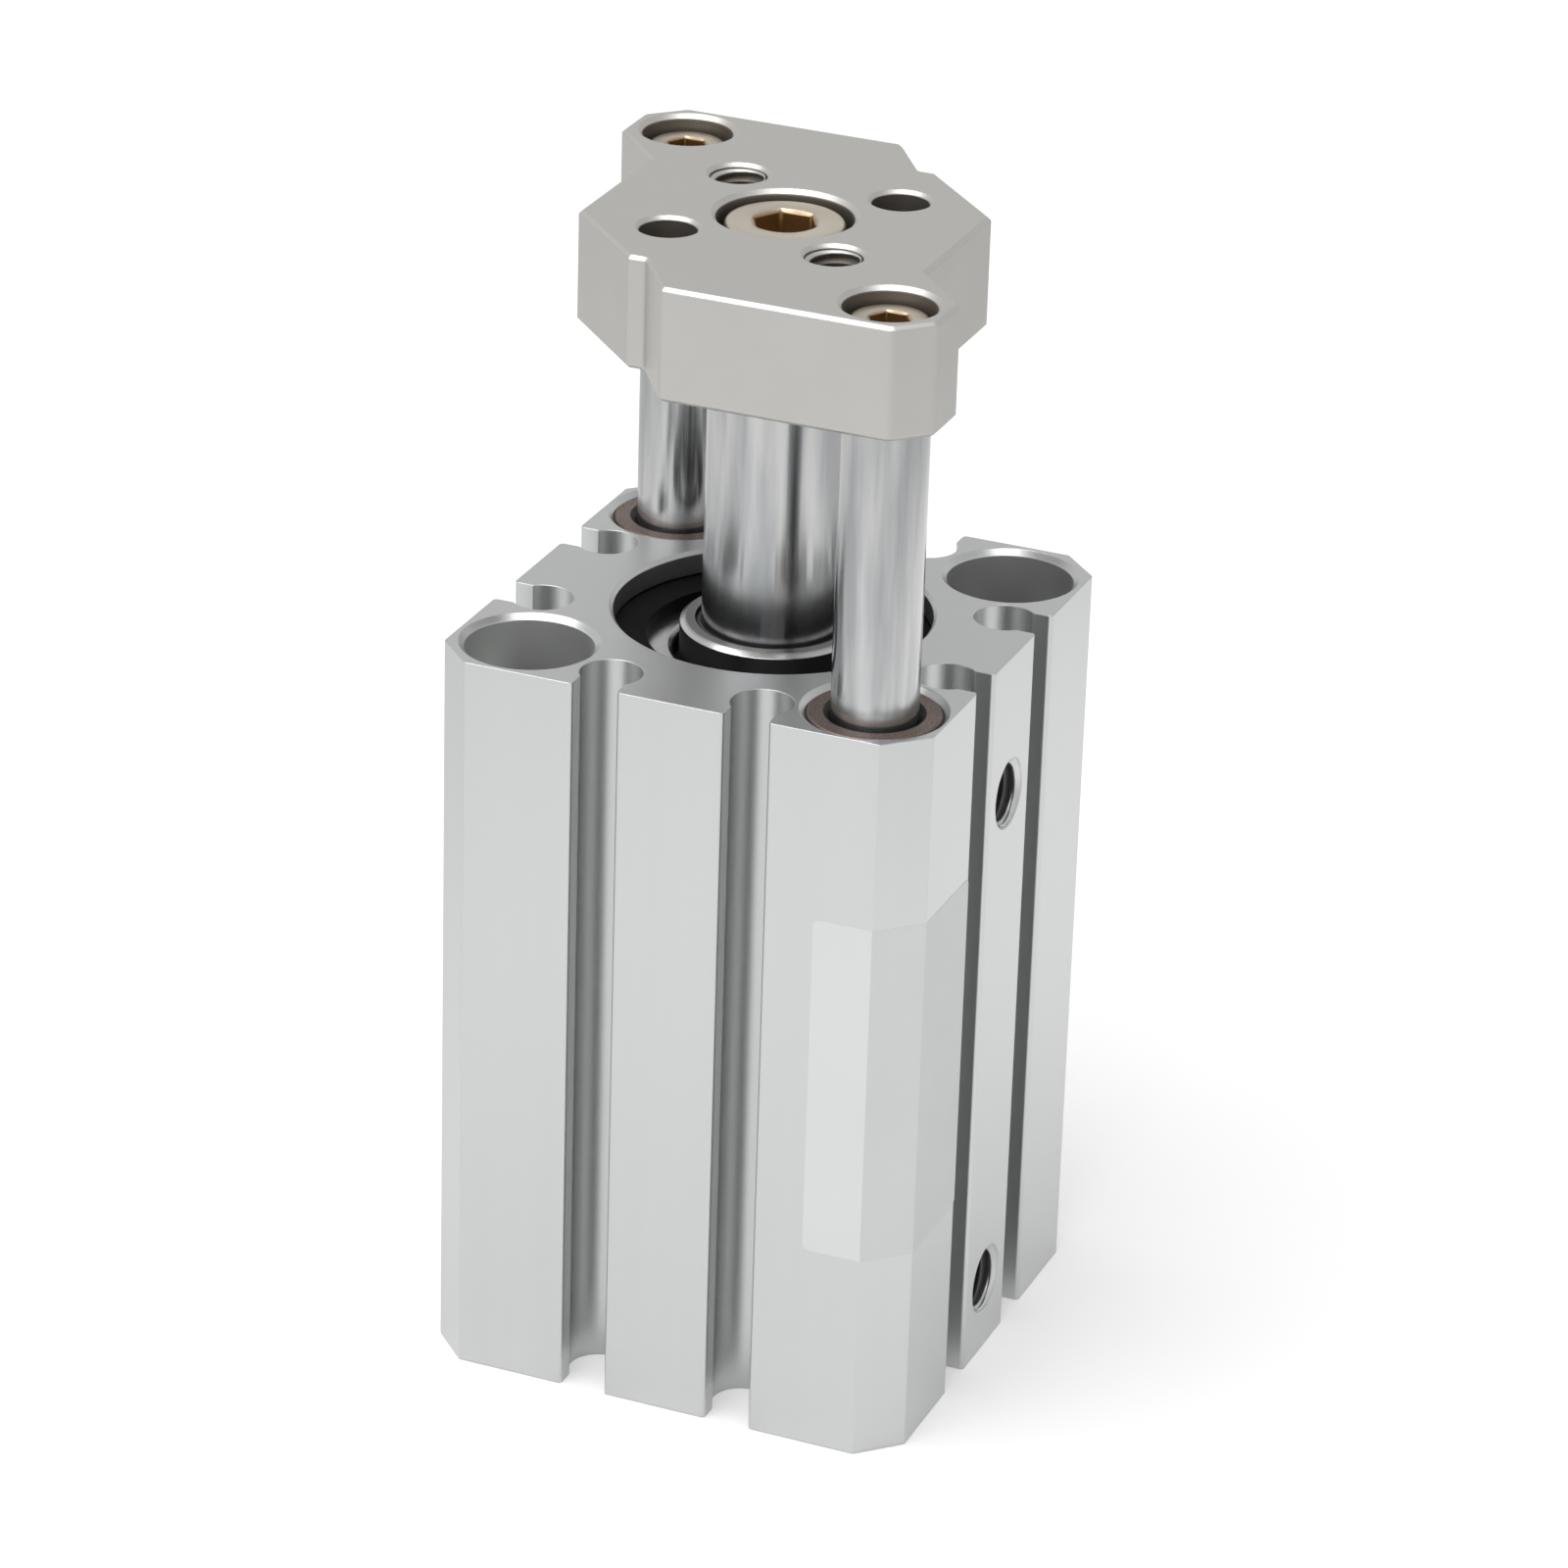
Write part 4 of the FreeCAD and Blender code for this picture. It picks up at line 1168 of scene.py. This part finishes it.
@dataclass
class Barrel:
    """The fixed half: tube, rod cover with its seals and ring, bushes, ports and label."""

    finishes: Finishes
    works: Works
    port_pitch_mm: float = 0.8
    label: WrapLabel = field(default_factory=WrapLabel)

    def cut_port_threads(self) -> None:
        """Wind the thread of each port on the wall of its hole."""
        for port in ("head_end_port", "rod_end_port"):
            mesh = self.works.tap(port, self.port_pitch_mm, self.finishes.of(EXTRUSION), True)
            piece = add_piece(port + "_thread", mesh)
            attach(piece, Body.BARREL.value)

    def stick_label(self) -> None:
        """Put the bare label round the front right corner."""
        piece = self.label.build(self.finishes.of(FILM))
        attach(piece, Body.BARREL.value)

    def build(self) -> None:
        """Dress the barrel and add what it carries."""
        self.finishes.dress(Body.BARREL)
        self.cut_port_threads()
        self.stick_label()


@dataclass
class Plunger:
    """The moving half: piston, rods, plate, cap screws and the plate's threads."""

    finishes: Finishes
    works: Works
    tap_pitch_mm: float = 0.7
    rod_screw: CapScrew = field(default_factory=lambda: CapScrew(
        "rod_screw", "rod_cap_screw", key_mm=4.0, key_depth_mm=2.5, head_height_mm=5.0,
        shank_mm=2.5, pitch_mm=0.8, teeth=40))
    guide_screws: tuple[CapScrew, ...] = field(default_factory=lambda: tuple(CapScrew(
        end + "_guide_screw", end + "_guide_cap_screw", key_mm=2.5, key_depth_mm=1.5,
        head_height_mm=3.0, shank_mm=1.5, pitch_mm=0.5, teeth=30, edge_mm=0.3,
        tooth_depth_mm=0.07) for end in ("front", "rear")))

    def fit_screws(self) -> None:
        """Put a detailed cap screw in place of each plain one."""
        for screw in (self.rod_screw, *self.guide_screws):
            piece = screw.build(self.works, self.finishes.of(YELLOW_ZINC))
            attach(piece, Body.PLUNGER.value)
            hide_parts(screw.node)

    def tap_plate(self) -> None:
        """Wind the thread of the two tapped holes on their walls."""
        for hole in ("plate_front_tapped_hole", "plate_rear_tapped_hole"):
            mesh = self.works.tap(hole, self.tap_pitch_mm, self.finishes.of(PLATE), False)
            piece = add_piece(hole + "_thread", mesh)
            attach(piece, Body.PLUNGER.value)

    def build(self) -> None:
        """Dress the plunger and add its screws and threads."""
        self.finishes.dress(Body.PLUNGER)
        self.fit_screws()
        self.tap_plate()


# ---------------- studio


@dataclass
class View:
    """A camera that looks down on the cylinder from its front right."""

    azimuth: float = 21.982
    elevation: float = 25.0
    roll: float = 1.801
    distance_mm: float = 441.108
    side_mm: float = 1.146
    lift_mm: float = 0.882
    target_mm: float = 40.0
    frame_width: float = 36.0
    focal_share: float = 6390.6 / 1600
    nearest: float = 0.01

    def build(self) -> None:
        """Place the camera."""
        roll = math.radians(self.roll)
        back = heading(self.azimuth, self.elevation)
        level = Vector((0, 0, 1)).cross(back).normalized()
        upright = back.cross(level)
        right = math.cos(roll) * level + math.sin(roll) * upright
        top = -math.sin(roll) * level + math.cos(roll) * upright
        place = (back * self.distance_mm + right * self.side_mm + top * self.lift_mm
                 + Vector((0, 0, self.target_mm))) * MM
        lens = bpy.data.cameras.new("camera")
        lens.sensor_width = self.frame_width
        lens.lens = self.focal_share * self.frame_width
        lens.clip_start = self.nearest
        camera = add_object("camera", lens)
        camera.matrix_world = Matrix((
            (right.x, top.x, back.x, place.x), (right.y, top.y, back.y, place.y),
            (right.z, top.z, back.z, place.z), (0, 0, 0, 1)))
        bpy.context.scene.camera = camera


@dataclass
class LightTent:
    """A tent that is bright at the table and dimmer overhead, and white to the camera."""

    low: float = 0.1
    high: float = 0.9
    low_light: float = 0.78
    high_light: float = 0.55

    def build(self) -> None:
        """Make the world."""
        world = bpy.data.worlds.new("light_tent")
        world.use_nodes = True
        tree = world.node_tree
        tree.nodes.clear()
        way = add_node(tree, PLACE).outputs["Generated"]
        height = add_node(tree, SPLIT, {0: way}).outputs[2]
        dim = add_node(tree, MAP_RANGE,
                       {0: height, 1: self.low, 2: self.high, 3: self.low_light,
                        4: self.high_light}, interpolation_type="SMOOTHSTEP")
        tent = add_node(tree, "ShaderNodeBackground", {0: linear(WHITE), 1: dim})
        white = add_node(tree, "ShaderNodeBackground", {0: linear(WHITE), 1: 1.0})
        seen = add_node(tree, "ShaderNodeLightPath").outputs["Is Camera Ray"]
        mixed = add_node(tree, "ShaderNodeMixShader", {0: seen, 1: tent, 2: white})
        add_node(tree, "ShaderNodeOutputWorld", {0: mixed})
        bpy.context.scene.world = world


@dataclass
class TableTop:
    """A white table top that keeps the shadow, and shows as white in the metal.

    In the metal it shows an added glow of painted light, which fades at some distance; less of it
    near the cylinder's foot and on its left is painted shade.
    """

    reach: float = 3.0
    colour: str = "#C8C8C8"
    roughness: float = 0.9
    glow: float = 0.34
    fade_from: float = 0.14
    fade_to: float = 0.185
    foot: Sizes = (-0.015, -0.025, 0.0)
    foot_reach: float = 0.09
    foot_share: float = 0.5
    left_from: float = -0.12
    left_to: float = -0.04
    left_share: float = 0.2
    drop_mm: float = 0.05

    def mirrored(self, surface: Surface, path: Node) -> Output:
        """How much of its glow the table shows to the camera, and in metal and glass.

        Args:
            surface: the table's tree and the place on it.
            path: the light path node.

        Returns:
            A value from zero to one.
        """
        tree, spot = surface.tree, surface.point
        far = add_node(tree, VECTOR_MATH, {0: spot}, operation="LENGTH")
        near = add_node(tree, MAP_RANGE,
                        {0: far.outputs[1], 1: self.fade_from, 2: self.fade_to, 3: 1.0, 4: 0.0},
                        interpolation_type="SMOOTHSTEP")
        # Less glow near the cylinder's foot and on its left: painted shade in the table's
        # reflection.
        beside = add_node(tree, VECTOR_MATH, {0: spot, 1: self.foot}, operation="DISTANCE")
        foot = add_node(tree, MAP_RANGE,
                        {0: beside.outputs[1], 1: 0.0, 2: self.foot_reach, 3: self.foot_share})
        aside = add_node(tree, MAP_RANGE,
                         {0: surface.along(0), 1: self.left_from, 2: self.left_to,
                          3: self.left_share})
        metal = surface.fold("MULTIPLY", path.outputs["Is Glossy Ray"], near, foot, aside)
        return surface.fold("MAXIMUM", path.outputs["Is Camera Ray"], metal,
                            path.outputs["Is Transmission Ray"]).outputs[0]

    def build(self) -> None:
        """Lay the table just below the cylinder."""
        corners = ((-1, -1), (1, -1), (1, 1), (-1, 1))
        mesh = bpy.data.meshes.new("table_top")
        mesh.from_pydata([(x * self.reach, y * self.reach, 0) for x, y in corners],
                         [], [(0, 1, 2, 3)])
        material = bpy.data.materials.new("white_table_paint")
        material.use_nodes = True
        tree = material.node_tree
        shader = tree.nodes["Principled BSDF"]
        shader.inputs["Base Color"].default_value = linear(self.colour)
        shader.inputs["Roughness"].default_value = self.roughness
        shader.inputs["Specular IOR Level"].default_value = 0.0
        surface = Surface(tree, add_node(tree, PLACE).outputs["Object"])
        shown = self.mirrored(surface, add_node(tree, "ShaderNodeLightPath"))
        lift = add_node(tree, MATH, {0: shown, 1: self.glow}, operation="MULTIPLY")
        glow = add_node(tree, "ShaderNodeEmission", {0: linear(WHITE), 1: lift})
        both = add_node(tree, "ShaderNodeAddShader", {0: shader, 1: glow})
        tree.links.new(both.outputs[0], tree.nodes["Material Output"].inputs[0])
        mesh.materials.append(material)
        table = add_piece("table_top", mesh)
        table.location.z = CAD_BOX[0].z - self.drop_mm * MM


@dataclass
class SoftBox:
    """A square soft box that faces the middle of the cylinder."""

    name: str = "overhead_softbox"
    azimuth: float = -24.0
    elevation: float = 64.0
    size: float = 1.2
    distance: float = 1.0
    watts: float = 13.5
    aim_mm: float = 40.0

    def build(self) -> None:
        """Hang the lamp."""
        way = heading(self.azimuth, self.elevation)
        light = bpy.data.lights.new(self.name, "AREA")
        light.shape = "SQUARE"
        light.size = self.size
        light.energy = self.watts
        lamp = add_object(self.name, light)
        place = way * self.distance + Vector((0, 0, self.aim_mm)) * MM
        lamp.matrix_world = Matrix.LocRotScale(place, way.to_track_quat("Z", "Y"), None)
        lamp.visible_camera = False


def main() -> None:
    """Build the sub-assemblies and the studio in order."""
    logging.basicConfig(level=logging.INFO, format="%(name)s %(message)s")
    finishes = Finishes()
    works = Works()
    for part in (Barrel(finishes, works), Plunger(finishes, works), View(), LightTent(),
                 TableTop(), SoftBox()):
        part.build()
        log.info("%s: built", type(part).__name__)
    bpy.context.scene.view_settings.view_transform = "Standard"


if __name__ == "__main__":
    main()
